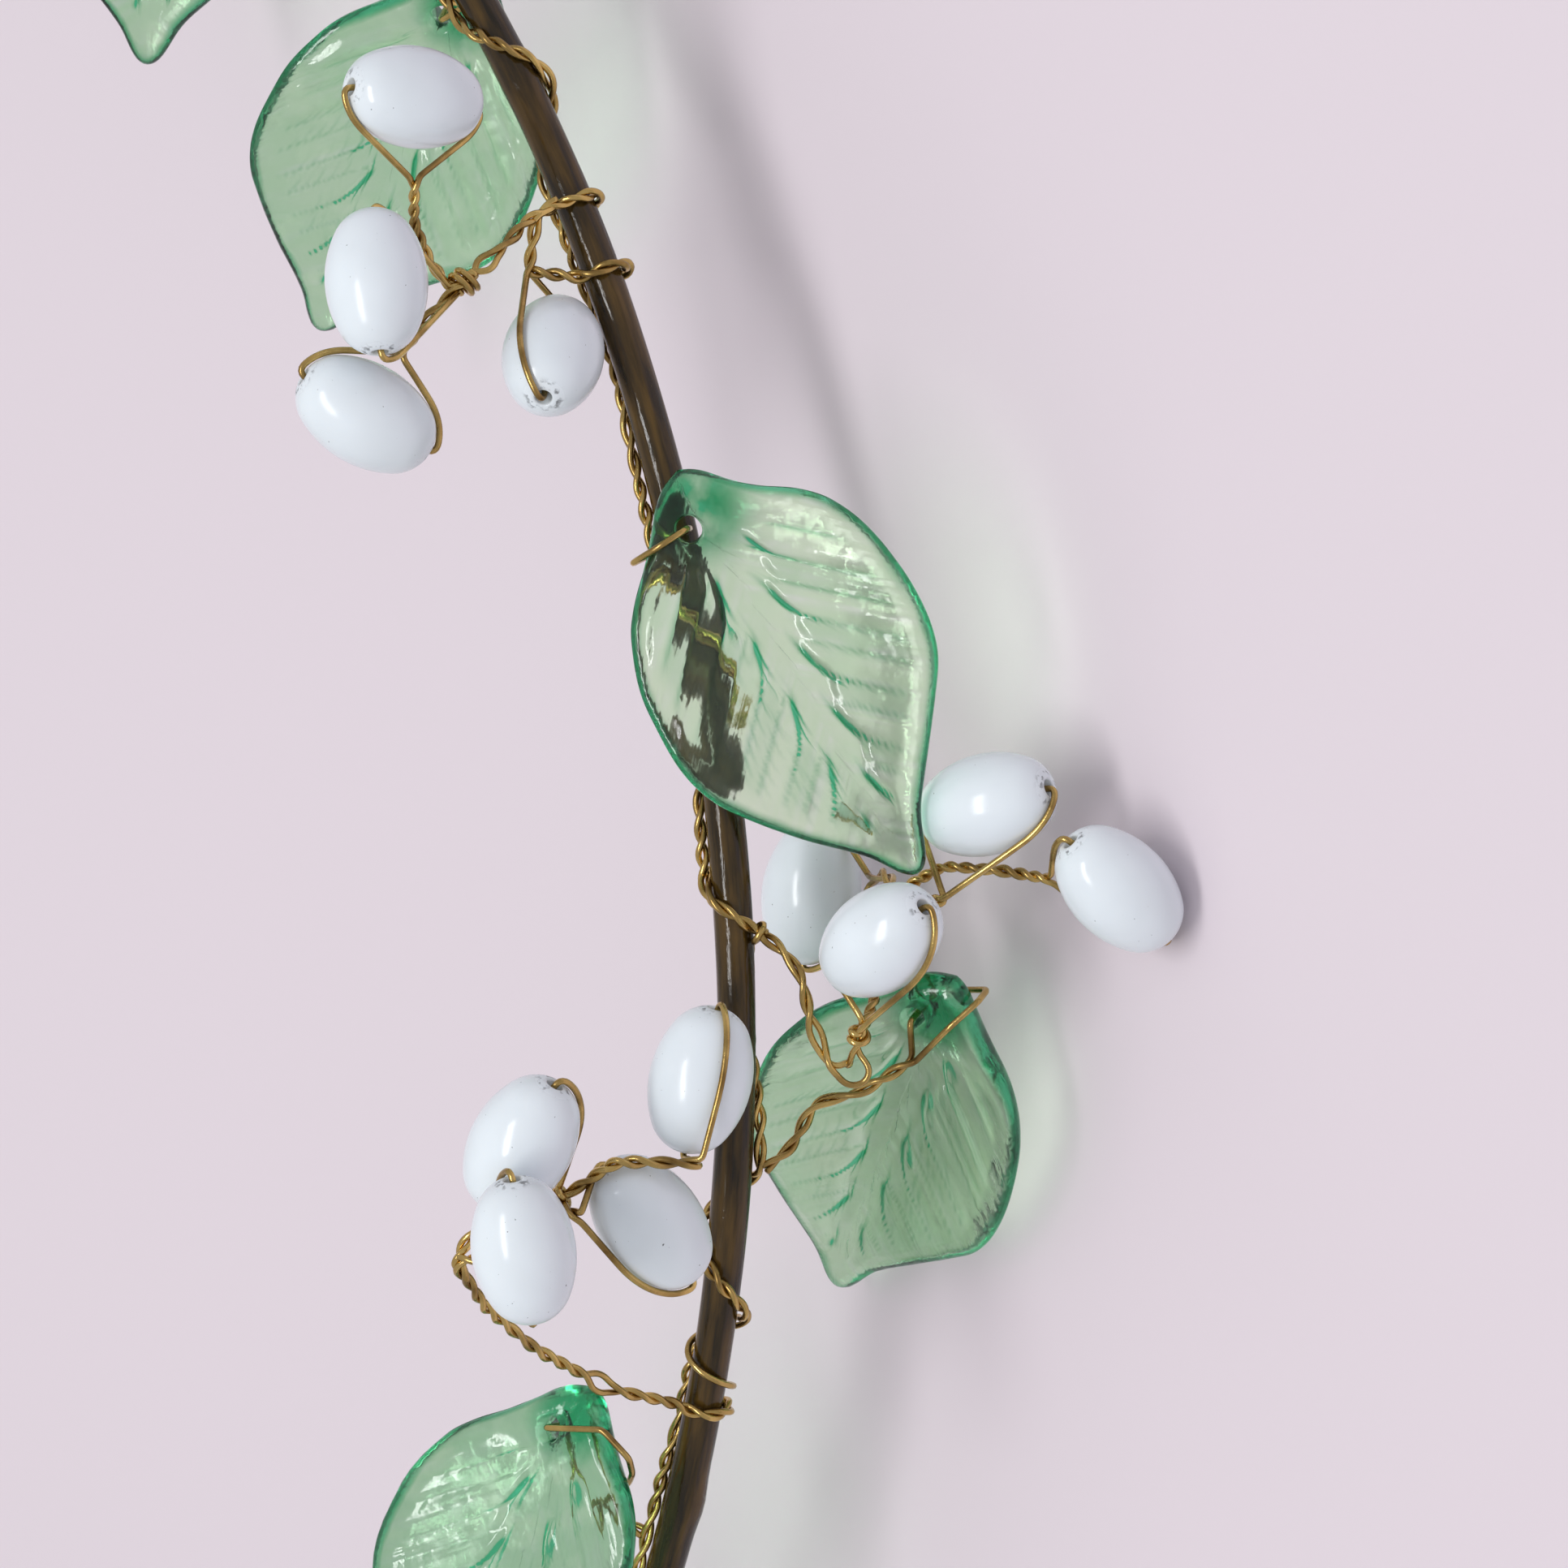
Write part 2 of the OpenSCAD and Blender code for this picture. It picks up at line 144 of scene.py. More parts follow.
# A circle of the radius square to the line at each point, with a fan over each end. The pattern is (radius cos,
# radius sin, length gone), which has no seam.
def tube(line, radius, sides, guide=None):
    side, over = carried(line) if guide is None else squareTo(line, guide)
    turn = 2 * np.pi * np.arange(sides) / sides
    reach = np.broadcast_to(radius, (len(line), sides))
    cos, sin = np.cos(turn), np.sin(turn)
    rings = line[:, None] + reach[:, :, None] * (cos[:, None] * side[:, None] + sin[:, None] * over[:, None])
    gone = np.broadcast_to(lengthGone(line)[:, None], reach.shape)
    pattern = np.stack([reach * cos, reach * sin, gone], -1)
    count, k = len(line) * sides, np.arange(sides)
    points = np.vstack([rings.reshape(-1, 3), line[[0, -1]]])
    pattern = np.vstack([pattern.reshape(-1, 3), [[0, 0, 0], [0, 0, gone[-1, 0]]]])
    first = np.stack([np.full(sides, count), (k + 1) % sides, k], 1)
    last = np.stack([np.full(sides, count + 1), count - sides + k, count - sides + (k + 1) % sides], 1)
    return points, ringFaces(len(line), sides), np.vstack([first, last]), pattern


noTriangles = np.zeros((0, 3), int)


# A new object of a mesh, light or camera, put into the scene
def newObject(name, data):
    item = bpy.data.objects.new(name, data)
    bpy.context.collection.objects.link(item)
    return item


# Parts (points, quads, triangles, pattern) put into one mesh in metres, with their faces numbered on
def putPiece(name, parts, finish, slot, *nodes):
    base = np.cumsum([0] + [len(part[0]) for part in parts])
    points = np.vstack([part[0] for part in parts]) / perMetre
    quads = np.vstack([part[1] + start for part, start in zip(parts, base)])
    tris = np.vstack([part[2] + start for part, start in zip(parts, base)])
    pattern = np.vstack([part[3] for part in parts])
    mesh = bpy.data.meshes.new(name)
    mesh.vertices.add(len(points))
    mesh.vertices.foreach_set("co", points.ravel())
    mesh.loops.add(quads.size + tris.size)
    mesh.loops.foreach_set("vertex_index", np.hstack([quads.ravel(), tris.ravel()]).astype(np.int32))
    mesh.polygons.add(len(quads) + len(tris))
    starts = np.hstack([np.arange(len(quads)) * 4, quads.size + np.arange(len(tris)) * 3])
    mesh.polygons.foreach_set("loop_start", starts.astype(np.int32))
    mesh.update(calc_edges=True)
    mesh.polygons.foreach_set("use_smooth", np.ones(len(starts), bool))
    attribute = mesh.attributes.new("pattern", "FLOAT_VECTOR", "POINT")
    attribute.data.foreach_set("vector", pattern.ravel().astype(np.float32))
    mesh.materials.append(finish)
    piece = newObject(name, mesh)
    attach(piece, "root")
    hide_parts(*nodes)


# Finishes. A node's inputs are each set to a value or linked to another node's output.
def fill(tree, node, inputs):
    for key, value in inputs.items():
        if isinstance(value, bpy.types.NodeSocket):
            tree.links.new(value, node.inputs[key])
        else:
            node.inputs[key].default_value = value


# A new node with its settings and inputs
def addNode(tree, kind, inputs=None, **settings):
    node = tree.nodes.new(kind)
    for key, value in settings.items():
        setattr(node, key, value)
    fill(tree, node, inputs or {})
    return node


patchValues = ("Scale", "Detail", "Contrast", "Middle")


# Patches: noise at the given scale, stretched by contrast about its middle and kept within 0 to 1
def patchesGroup():
    tree = bpy.data.node_groups.new("patches", "ShaderNodeTree")
    tree.interface.new_socket(name="Vector", in_out="INPUT", socket_type="NodeSocketVector")
    for name in patchValues:
        tree.interface.new_socket(name=name, in_out="INPUT", socket_type="NodeSocketFloat")
    tree.interface.new_socket(name="Mask", in_out="OUTPUT", socket_type="NodeSocketFloat")
    given, out = tree.nodes.new("NodeGroupInput").outputs, tree.nodes.new("NodeGroupOutput")
    noise = addNode(tree, "ShaderNodeTexNoise", {key: given[key] for key in ("Vector", "Scale", "Detail")})
    less = addNode(tree, "ShaderNodeMath", {0: noise.outputs["Fac"], 1: given["Middle"]}, operation="SUBTRACT")
    more = addNode(tree, "ShaderNodeMath", {0: less.outputs[0], 1: given["Contrast"], 2: 0.5},
                   operation="MULTIPLY_ADD", use_clamp=True)
    fill(tree, out, {"Mask": more.outputs[0]})
    return tree


patches = patchesGroup()


# A material with its own Principled shader, then its tree, shader and two coordinates
def newFinish(name, **sockets):
    finish = bpy.data.materials.new(name)
    finish.use_nodes = True
    tree = finish.node_tree
    shader = tree.nodes["Principled BSDF"]
    fill(tree, shader, {key.replace("_", " "): value for key, value in sockets.items()})
    where = tree.nodes.new("ShaderNodeTexCoord").outputs["Object"]
    pattern = addNode(tree, "ShaderNodeAttribute", attribute_name="pattern").outputs["Vector"]
    return finish, tree, shader, where, pattern


# The patches group at (scale, detail, contrast, middle)
def mask(tree, vector, values):
    given = {"Vector": vector, **dict(zip(patchValues, values))}
    return addNode(tree, "ShaderNodeGroup", given, node_tree=patches).outputs["Mask"]


# Colour a times (1 - factor) and colour b times factor
def mixed(tree, factor, a, b):
    return addNode(tree, "ShaderNodeMix", {"Factor": factor, 6: a, 7: b}, data_type="RGBA").outputs[2]


# A value of 0 to 1 spread over low to high
def spread(tree, value, low, high):
    return addNode(tree, "ShaderNodeMapRange", {"Value": value, "To Min": low, "To Max": high}).outputs[0]


# The shader's normal tilted by the slope of height times distance
def bumped(tree, shader, height, distance):
    bump = addNode(tree, "ShaderNodeBump", {"Height": height, "Distance": distance, "Strength": 1})
    fill(tree, shader, {"Normal": bump.outputs[0]})


# a and b joined by one operation, multiplied if none is named, and kept within 0 to 1 if clamped
def joined(tree, a, b, operation="MULTIPLY", clamp=False):
    return addNode(tree, "ShaderNodeMath", {0: a, 1: b}, operation=operation, use_clamp=clamp).outputs[0]


# Looks: colours and patches (scale, detail, contrast, middle), with scales a metre on Object coordinates and a
# millimetre on the pattern
stemLook = {
    "dark": (0.012, 0.008, 0.003, 1), "brown": (0.036, 0.021, 0.005, 1), "gold": (0.15, 0.082, 0.016, 1),
    "stretch": (1, 1, 0.11),  # scale across and along the length
    "streaks": (2.6, 5, 2.5, 0.5),
    "goldStreaks": (1.5, 6, 3.5, 0.56), "goldShare": 0.6,
    "glossPatches": (900, 3, 3, 0.5), "gloss": (0.05, 0.1),  # least and most roughness
    "grain": (3800, 2, 1.5, 0.5), "grainHeight": 0.4,  # as a part of the streaks' height
    "height": 0.000014,  # in metres
}


# Lacquer: streaks of noise stretched along the length, from dark to brown to gold
def lacquer():
    finish, tree, shader, where, pattern = newFinish("lacquer", Specular_IOR_Level=0.4)
    squeezed = addNode(tree, "ShaderNodeMapping", {"Vector": pattern, "Scale": stemLook["stretch"]}).outputs[0]
    streaks = mask(tree, squeezed, stemLook["streaks"])
    brown = mixed(tree, streaks, stemLook["dark"], stemLook["brown"])
    gold = joined(tree, mask(tree, squeezed, stemLook["goldStreaks"]), stemLook["goldShare"])
    gloss = spread(tree, mask(tree, where, stemLook["glossPatches"]), *stemLook["gloss"])
    fill(tree, shader, {"Base Color": mixed(tree, gold, brown, stemLook["gold"]), "Roughness": gloss})
    grain = joined(tree, mask(tree, where, stemLook["grain"]), stemLook["grainHeight"])
    bumped(tree, shader, joined(tree, grain, streaks, "ADD"), stemLook["height"])
    return finish


wireLook = {
    "bright": (0.78, 0.55, 0.19, 1), "patina": (0.16, 0.086, 0.026, 1),
    "patches": (420, 5, 2.2, 0.52), "gloss": (0.17, 0.36),
    "scratches": (3, 4, 2, 0.5), "height": 0.00001,
}


# Brass wire: bright metal with brown patina in patches, which are rougher
def brass():
    finish, tree, shader, where, pattern = newFinish("brass", Metallic=1.0)
    tone = mask(tree, where, wireLook["patches"])
    fill(tree, shader, {"Base Color": mixed(tree, tone, wireLook["bright"], wireLook["patina"]),
                        "Roughness": spread(tree, tone, *wireLook["gloss"])})
    bumped(tree, shader, mask(tree, pattern, wireLook["scratches"]), wireLook["height"])
    return finish


beadLook = {
    "white": (0.82, 0.89, 0.94, 1), "shade": (0.74, 0.80, 0.84, 1), "clouds": (260, 2, 1.5, 0.5),
    "grey": (0.16, 0.17, 0.18, 1), "specks": (2600, 3, 9, 0.58), "strays": (5200, 1, 30, 0.8),
    "glossPatches": (500, 3, 3, 0.5), "gloss": (0.15, 0.25),
    "wornRoughness": 0.45,  # added where the glass is worn
    "unevenness": (700, 2, 1, 0.5), "height": 0.00002,
}


# White glass: clouds of greyer white and a few stray specks; worn, the pattern's first value, brings more specks and
# roughness
def whiteGlass():
    finish, tree, shader, where, pattern = newFinish("whiteGlass", IOR=1.5, Subsurface_Weight=0.12,
                                                     Subsurface_Radius=(0.9, 1.0, 1.1), Subsurface_Scale=0.0012)
    worn = addNode(tree, "ShaderNodeSeparateXYZ", {0: pattern}).outputs[0]
    clouds = mixed(tree, mask(tree, where, beadLook["clouds"]), beadLook["white"], beadLook["shade"])
    specks = joined(tree, mask(tree, where, beadLook["specks"]), worn, clamp=True)
    specks = joined(tree, specks, mask(tree, where, beadLook["strays"]), "MAXIMUM")
    rough = joined(tree, worn, beadLook["wornRoughness"])
    gloss = spread(tree, mask(tree, where, beadLook["glossPatches"]), *beadLook["gloss"])
    fill(tree, shader, {"Base Color": mixed(tree, specks, clouds, beadLook["grey"]),
                        "Roughness": joined(tree, rough, gloss, "ADD")})
    bumped(tree, shader, mask(tree, where, beadLook["unevenness"]), beadLook["height"])
    return finish


leafLook = {
    "glass": (0.62, 0.90, 0.59, 1), "sage": (0.82, 0.98, 0.73, 1), "clouds": (150, 3, 2, 0.5),
    "emerald": (0.008, 0.38, 0.13, 1), "blotches": (300, 4, 3.5, 0.32),
    "rimPatches": (210, 3, 4, 0.45), "rimPowers": (0.3, 2.4),  # for a wide rim and a narrow one
    # The glint colour, its share and the streaks paint highlights along the ribs
    "glint": (0.90, 0.98, 0.90, 1), "paintedGlintShare": 0.8, "streaks": (4.5, 2, 4, 0.56), "broken": (520, 3, 4, 0.52),
    "glossPatches": (1200, 4, 3, 0.5), "gloss": (0.05, 0.19),
    "unevenness": (620, 1, 1.5, 0.5), "streakHeight": 0.3,
    "fine": (2600, 1, 2, 0.5), "fineHeight": 0.12, "height": 0.00005,
    "lightThrough": 0.7,  # in shadows
}


# Green glass: clouds of sage and mint, with painted glints as paler streaks of noise on the phase. Emerald is the
# higher of green times blotches and of rim to a power that changes in patches; green carries painted shade in the rib
# valleys and on darker leaves.
def greenGlass():
    finish, tree, shader, where, pattern = newFinish("greenGlass", IOR=1.5, Transmission_Weight=1.0)
    green, rim, phase = addNode(tree, "ShaderNodeSeparateXYZ", {0: pattern}).outputs
    clouds = mixed(tree, mask(tree, where, leafLook["clouds"]), leafLook["glass"], leafLook["sage"])
    alongRibs = addNode(tree, "ShaderNodeCombineXYZ", {0: phase}).outputs[0]
    streaks = mask(tree, alongRibs, leafLook["streaks"])
    # Painted highlights: paler streaks along the ribs, broken up by noise
    paintedGlints = joined(tree, joined(tree, streaks, mask(tree, where, leafLook["broken"])), leafLook["paintedGlintShare"])
    tinted = mixed(tree, paintedGlints, clouds, leafLook["glint"])
    rimPower = spread(tree, mask(tree, where, leafLook["rimPatches"]), *leafLook["rimPowers"])
    gathered = joined(tree, green, mask(tree, where, leafLook["blotches"]), clamp=True)
    share = joined(tree, gathered, joined(tree, rim, rimPower, "POWER"), "MAXIMUM")
    ribbed = joined(tree, streaks, leafLook["streakHeight"])
    uneven = joined(tree, mask(tree, where, leafLook["unevenness"]), ribbed, "ADD")
    fine = joined(tree, mask(tree, where, leafLook["fine"]), leafLook["fineHeight"])
    bumped(tree, shader, joined(tree, uneven, fine, "ADD"), leafLook["height"])
    inShadow = addNode(tree, "ShaderNodeLightPath").outputs["Is Shadow Ray"]
    through = joined(tree, inShadow, leafLook["lightThrough"])
    fill(tree, shader, {"Base Color": mixed(tree, share, tinted, leafLook["emerald"]),
                        "Roughness": spread(tree, mask(tree, where, leafLook["glossPatches"]), *leafLook["gloss"]),
                        "Alpha": joined(tree, 1, through, "SUBTRACT")})
    return finish


finishes = {"stem": lacquer(), "wire": brass(), "bead": whiteGlass(), "leaf": greenGlass()}
print("finishes made")

stem = {
    "thickness": 2.3, "sides": 28,
    "gap": 0.8,  # between rings
    "step": 0.25,  # degrees between its first points
    "oval": 0.025, "ovalReach": 7.3, "ovalPhases": (1, 0.4),  # out of round
    "waver": 0.02, "waverReach": 3.1,  # how uneven in thickness
    "knuckle": 0.1, "knuckleReach": 1.5,
    "endRound": 0.9,  # length of a rounded end
    "endLoss": 0.75,  # 1 less the square of an end's part of the radius
    "knuckles": [(20, 0), (325.5, 200), (292.7, 0), (270, 120), (238, 0), (209, 40), (160, 0)],  # ring, side angle
}


# Stem: a line round the right half and on round the left, swelling as a bell curve at each knuckle, with a waver of
# slow sines and ends rounded as a quarter circle
def makeStem():
    right = np.arange(90 + ring["lapDegrees"], -90, -stem["step"])
    left = np.arange(270, 90 - ring["lapDegrees"] - stem["step"] / 2, -stem["step"])
    theta = np.hstack([right, left])
    shift = np.hstack([np.zeros(len(right)), np.full(len(left), ring["lap"] / 2)])
    line = evenly(onRing(theta, shift, np.zeros((len(theta), 3))), stem["gap"])
    gone = lengthGone(line)
    side = np.radians(360 * np.arange(stem["sides"]) / stem["sides"])
    radius = np.full((len(line), stem["sides"]), stem["thickness"] / 2)
    alongPhase, roundPhase = stem["ovalPhases"]
    radius += (stem["oval"] * np.sin(gone / stem["ovalReach"] + alongPhase)[:, None] * np.cos(side + roundPhase)
               + stem["waver"] * np.sin(gone / stem["waverReach"])[:, None])
    for at, facing in stem["knuckles"]:
        place = spot(at, [0, 0, 0])[0]
        near = bell(np.linalg.norm(line - place, axis=1), stem["knuckleReach"])
        radius += stem["knuckle"] * near[:, None] * (1 + np.cos(side - np.radians(facing)))
    inward = np.minimum(np.minimum(gone, gone[-1] - gone) / stem["endRound"], 1)
    radius *= np.sqrt(1 - (1 - inward) ** 2 * stem["endLoss"])[:, None]
    outward = unit(line - [0, 0, ring["height"]])
    return tube(line, radius, stem["sides"], outward)


putPiece("stemPiece", [makeStem()], finishes["stem"], "stem", "stem")
print("stem made")

wire = {
    "thickness": 0.4, "sides": 8,
    "gap": 0.2,  # between the rings of a wire
    "pitch": 3.0, "windPitch": 3.5, "leafPitch": 4.2,  # length of a whole turn of a pair
    "uneven": 0.22, "unevenRate": 0.8,  # part by which the pitch varies, and radians a millimetre
    "apart": 0.51,  # from a pair's line to each strand, in thicknesses
    "loose": 0.12, "looseRate": 0.55,  # further apart in places
    "seed": 7,  # a wire's sines begin at its length times this
    "windRadius": 1.6,  # from the stem's centre line to the pair's
    "windGap": 0.06, "windRound": 2.0,  # step and easing of the winding, in degrees of ring angle
    "sideScale": 12,  # degrees of side angle that count as one of ring angle there
    "round": 1.1, "loopRound": 0.45,  # easing of corners
    "besideBead": 0.32, "hookPoints": 16,
    "coilRadius": 0.62, "coilPitch": 0.46, "coilPoints": 18,  # points a turn
    "coilStart": 0.15, "coilEase": 0.3,  # where its ends are drawn in to, and over how many turns
}


# A round wire along a line
def wireTube(line):
    return tube(line, wire["thickness"] / 2, wire["sides"])


# The two strands of a pair, either side of its line. The turn is the running sum of a rate that varies as a slow sine,
# and the distance apart grows as the fourth power of another. In an eye (place, half length, opening, direction or
# None) they part and stop turning, as a bell curve. At each mark (place, direction) the turn is corrected so that they
# lie along it, to the nearest half turn, and evenly between marks.
def strands(line, pitch=None, eyes=(), marks=()):
    side, over = carried(line)
    gone = lengthGone(line)
    seed = gone[-1] * wire["seed"]
    rate = 2 * np.pi / (pitch or wire["pitch"]) * (1 + wire["uneven"] * np.sin(gone * wire["unevenRate"] + seed))
    apart = wire["thickness"] * (wire["apart"] + wire["loose"] * np.sin(gone * wire["looseRate"] + seed) ** 4)
    for place, reach, opening, towards in eyes:
        near = bell(gone - place, reach, 4)
        rate, apart = rate * (1 - near), apart + opening * near
    turn = np.append(0, np.cumsum(rate[1:] * np.diff(gone)))
    at, fix = [], []
    turned = [(place, towards) for place, reach, opening, towards in eyes if towards is not None]
    for place, towards in sorted(turned + list(marks), key=lambda mark: mark[0]):
        i = int(np.argmin(np.abs(gone - place)))
        wanted = np.arctan2(towards @ over[i], towards @ side[i]) - turn[i]
        at.append(gone[i])
        fix.append(wanted - np.pi * np.round((wanted - fix[-1]) / np.pi) if fix else wanted)
    if fix:
        turn = turn + np.interp(gone, at, fix)
    off = apart[:, None] * (np.cos(turn)[:, None] * side + np.sin(turn)[:, None] * over)
    return line + off, line - off


# A pair whose strands run on at its end into one loop, or a bare pair
def strung(line, loop=None, pitch=None, eyes=()):
    if loop is None:
        return [wireTube(strand) for strand in strands(line, pitch, eyes)]
    towards = unit(loop[0] - loop[-1])
    one, other = strands(line, pitch, eyes, [(lengthGone(line)[-1], towards)])
    if (one[-1] - other[-1]) @ towards < 0:
        one, other = other, one
    whole = np.vstack([one, loop, other[::-1]])
    return [wireTube(eased(whole, wire["gap"], wire["loopRound"]))]


# Close turns of wire round a line from a place on, with the ends drawn in by a smooth step
def coilRound(line, place, turns, wide):
    share = np.linspace(0, 1, int(wire["coilPoints"] * turns) + 1)
    at, gone = place + share * turns * wire["coilPitch"], lengthGone(line)
    side, over = carried(line)
    middle, side, over = (np.stack([np.interp(at, gone, v[:, k]) for k in range(3)], 1) for v in (line, side, over))
    turn = 2 * np.pi * turns * share[:, None]
    drawn = smoothStep(np.minimum(share, 1 - share)[:, None] * turns / wire["coilEase"])
    reach = wire["coilStart"] + (wide * wire["coilRadius"] - wire["coilStart"]) * drawn
    return wireTube(evenly(middle + reach * (np.cos(turn) * unit(side) + np.sin(turn) * unit(over)), wire["gap"]))


# 0 below 0, 1 above 1, and 3 t t - 2 t t t between
def smoothStep(value):
    t = np.clip(value, 0, 1)
    return t * t * (3 - 2 * t)


# Places round the stem: (radius cos side, along, radius sin side), side 0 outward and 90 up
def besideStem(along, side):
    radius, side = wire["windRadius"], np.radians(side)
    return np.stack([radius * np.cos(side), along + 0 * side, radius * np.sin(side)], 1)


binding = {
    "at": {"binding_left": 95, "binding_right": 85},  # ring angles
    "turns": 5, "start": np.pi / 8, "points": 36,  # points a turn
    "across": 1.9,  # degrees from the first turn to the last
    "clear": 0.02,  # between wire and stem
    "flatness": 6,  # how fast a turn crosses from end to end
}


# Binding: turns of an oval round both ends of the stem, moved on evenly in ring angle
def makeBinding(theta):
    share = np.linspace(0, 1, binding["points"] * binding["turns"] + 1)
    s = 2 * np.pi * binding["turns"] * share + binding["start"]
    radius = stem["thickness"] / 2 + wire["thickness"] / 2 + binding["clear"]
    out = ring["radius"] + ring["lap"] / 2 * (1 + np.clip(np.cos(s) * binding["flatness"], -1, 1)) + radius * np.cos(s)
    turn = np.radians(theta + (share - 0.5) * binding["across"])
    line = np.stack([out * np.cos(turn), out * np.sin(turn), ring["height"] + radius * np.sin(s)], 1)
    return wireTube(evenly(line, wire["gap"]))


for name, theta in binding["at"].items():
    putPiece(name + "_wire", [makeBinding(theta)], finishes["wire"], "brass_wire", name)

# Wire wound along the stem: ring angle and side angle, counted on
winding = [[366, 855], [359.7, 674], [355.5, 535], [352.5, 535], [334.1, 490], [329.5, 175], [323, 175],
           [317.9, 143], [307.5, -103], [304.5, -103], [297.9, -217], [296, -226], [293.8, -316], [292.3, -406],
           [290.8, -496], [289, -545], [284, -545], [281, -535], [276.5, -575], [274.1, -590], [271, -676],
           [268.5, -766], [266.5, -856], [264.7, -925], [261.5, -930], [260, -823], [256, -833], [251.3, -766],
           [250, -856], [248.6, -946], [247, -1036], [245.6, -1126], [244.6, -1216], [243.4, -1265],
           [240.6, -1265], [239, -1290], [234.1, -1320], [212.9, -1670], [209.5, -1625], [203, -1625],
           [200.5, -1543], [197.5, -1543], [190.3, -1846], [188.5, -1985], [182.5, -1985], [174.1, -2017],
           [171.5, -2140]]


# Winding: ring angle and side angle as one line in a plane, eased there, then laid on the stem
def makeWinding():
    rows = np.array([[theta, side / wire["sideScale"], 0] for theta, side in winding], float)
    rows = eased(rows, wire["windGap"], wire["windRound"])
    theta, side = rows[:, 0], rows[:, 1] * wire["sideScale"]
    return strung(evenly(spot(theta, besideStem(0, side)), wire["gap"]), pitch=wire["windPitch"])


# Sprigs: ring angle of the root, kind, 1 or -1 for the hand
sprigs = [[354, "c", -1], [328, "a", 1], [306, "b", -1], [287.4, "a", 1], [260, "b", 1],
          [242, "c", 1], [208.4, "a", 1], [199, "b", 1], [184, "a", -1]]

# Beads are (middle, azimuth and elevation of the hole, knot of the loop). Stalks are pairs or a single wire: a hook
# round the stem (along from, along to, side from, side to), a route, the bead it loops through, its own pitch, eyes
# (place, half length, opening, direction) and coils (place, turns, width). All is beside the stem at the root, with
# places on a stalk counted back from its end.
sprigKinds = {
    "a": {
        "beads": [[[1.4, 7.3, 10.5], 105, 74, [-0.5, 3, 11]], [[-1.7, -2.7, 15.8], -101, 14, [-2.5, -3.5, 9.5]],
                  [[-7.8, -8.4, 14.7], 100, 45, [-5.4, -5.9, 12.7]], [[-1.6, -8.6, 4.8], -72, 44, [-1.5, -3.2, 4.2]]],
        "stalks": [
            {"hook": [0, 0, -130, 70],
             "route": [[0, -0.5, 4], [-0.5, -2, 6.5], [-1, -2.5, 7.5], [-2.5, -3.5, 9.5]],
             "bead": 1, "eyes": [[2.5, 0.6, 0.34, [0.4, -0.9, 0.1]]], "coils": [[1.4, 2.5, 1.25]]},
            {"hook": [-4.6, -4.6, -130, 90], "route": [[-1.5, -3.2, 4.2]]},
            {"route": [[0.6, 0.2, 1.9], [0.1, -0.5, 3.5], [-1.5, -3.2, 4.2]], "bead": 3},
            {"route": [[-1.5, -2.9, 8.3], [-2.5, -3.5, 9.5], [-3.5, -1, 9.5], [-2.5, 1, 10.5], [-0.5, 3, 11]],
             "bead": 0, "pitch": 2.1},
            {"route": [[-1.5, -2.9, 8.3], [-2.5, -3.5, 9.5], [-4, -4.5, 11], [-5.4, -5.9, 12.7]], "bead": 2}]},
    "b": {
        "beads": [[[12, 7, -9.5], 15, -15, [10.5, 1.5, -7]], [[19, 2, -13], 110, 40, [15, 2.5, -11.5]],
                  [[10.3, -0.1, -1.9], 31, 0, [8.5, -5, -2]], [[-4.5, 0.5, -11], 80, -5, [0, 1.5, -11.5]]],
        "stalks": [
            {"hook": [3.6, 0, 170, -15], "route": [[3, -1, -1], [4.5, -2.5, -1], [5, -5, -1], [6, -8, -1.5],
             [7, -8.5, -3], [7, -7, -2.5], [8.5, -5, -2]],
             "bead": 2, "pitch": 4, "eyes": [[7.6, 0.6, 0.14, None], [4, 0.9, 0.5, [0.2, -0.9, 0.1]]],
             "coils": [[1.6, 1.5, 0.9], [15.2, 1.3, 0.95]]},
            {"route": [[8, -5.7, -2.2], [7.6, -4.5, -3.6], [7, -3, -5], [7.5, 2, -6.5], [9, 3.3, -8.6],
             [12.3, 3, -10.3], [15, 2.5, -11.5]], "bead": 1, "pitch": 1.9,
             "coils": [[10.9, 2.5, 1.15]]},
            {"route": [[7.4, 0.6, -6.1], [8.2, 1.5, -6.6], [10.5, 1.5, -7]], "bead": 0},
            {"route": [[7.4, 0.6, -6.1], [6.4, 1.7, -7.2], [4, 2.5, -9], [0, 1.5, -11.5]],
             "bead": 3, "pitch": 6.5}]},
    "c": {
        "beads": [[[1.8, 23.1, 7.4], 95, -10, [5, 19.5, 9.5]], [[-0.9, 19.7, 18.4], 75, -10, [-0.6, 15.6, 15]],
                  [[4.1, 15.8, 21.9], 105, 10, [-2, 12.1, 19.1]], [[2.8, 15, 10.5], 125, 30, [1.5, 15.5, 15]]],
        "stalks": [
            {"hook": [0, 0, -130, 85], "route": [[0, 0.5, 2.5], [-1.5, 1.5, 6.5], [-3, 4.5, 12], [-3.5, 8, 16.5],
             [-3.5, 11.5, 19.5], [-3.2, 13.8, 18.2], [-0.6, 15.6, 15],
             [2, 19, 13.5], [5, 19.5, 9.5]],
             "bead": 0, "eyes": [[32, 0.7, 0.3, [0.4, -0.9, 0.1]]], "coils": [[9.6, 2, 1]]},
            {"route": [[-1.6, 15, 16.2], [-0.6, 15.6, 15], [1.5, 15.5, 15]], "bead": 3},
            {"route": [[-3.5, 10, 18.4], [-3.5, 11.5, 19.5], [-2, 12.1, 19.1]], "bead": 2},
            {"route": [[-2.9, 14.1, 17.8], [-0.6, 15.6, 15]], "bead": 1},
            {"hook": [4.2, 0.9, 215, -100], "route": [[-0.6, 0.8, -1.5]], "single": True}]},
}

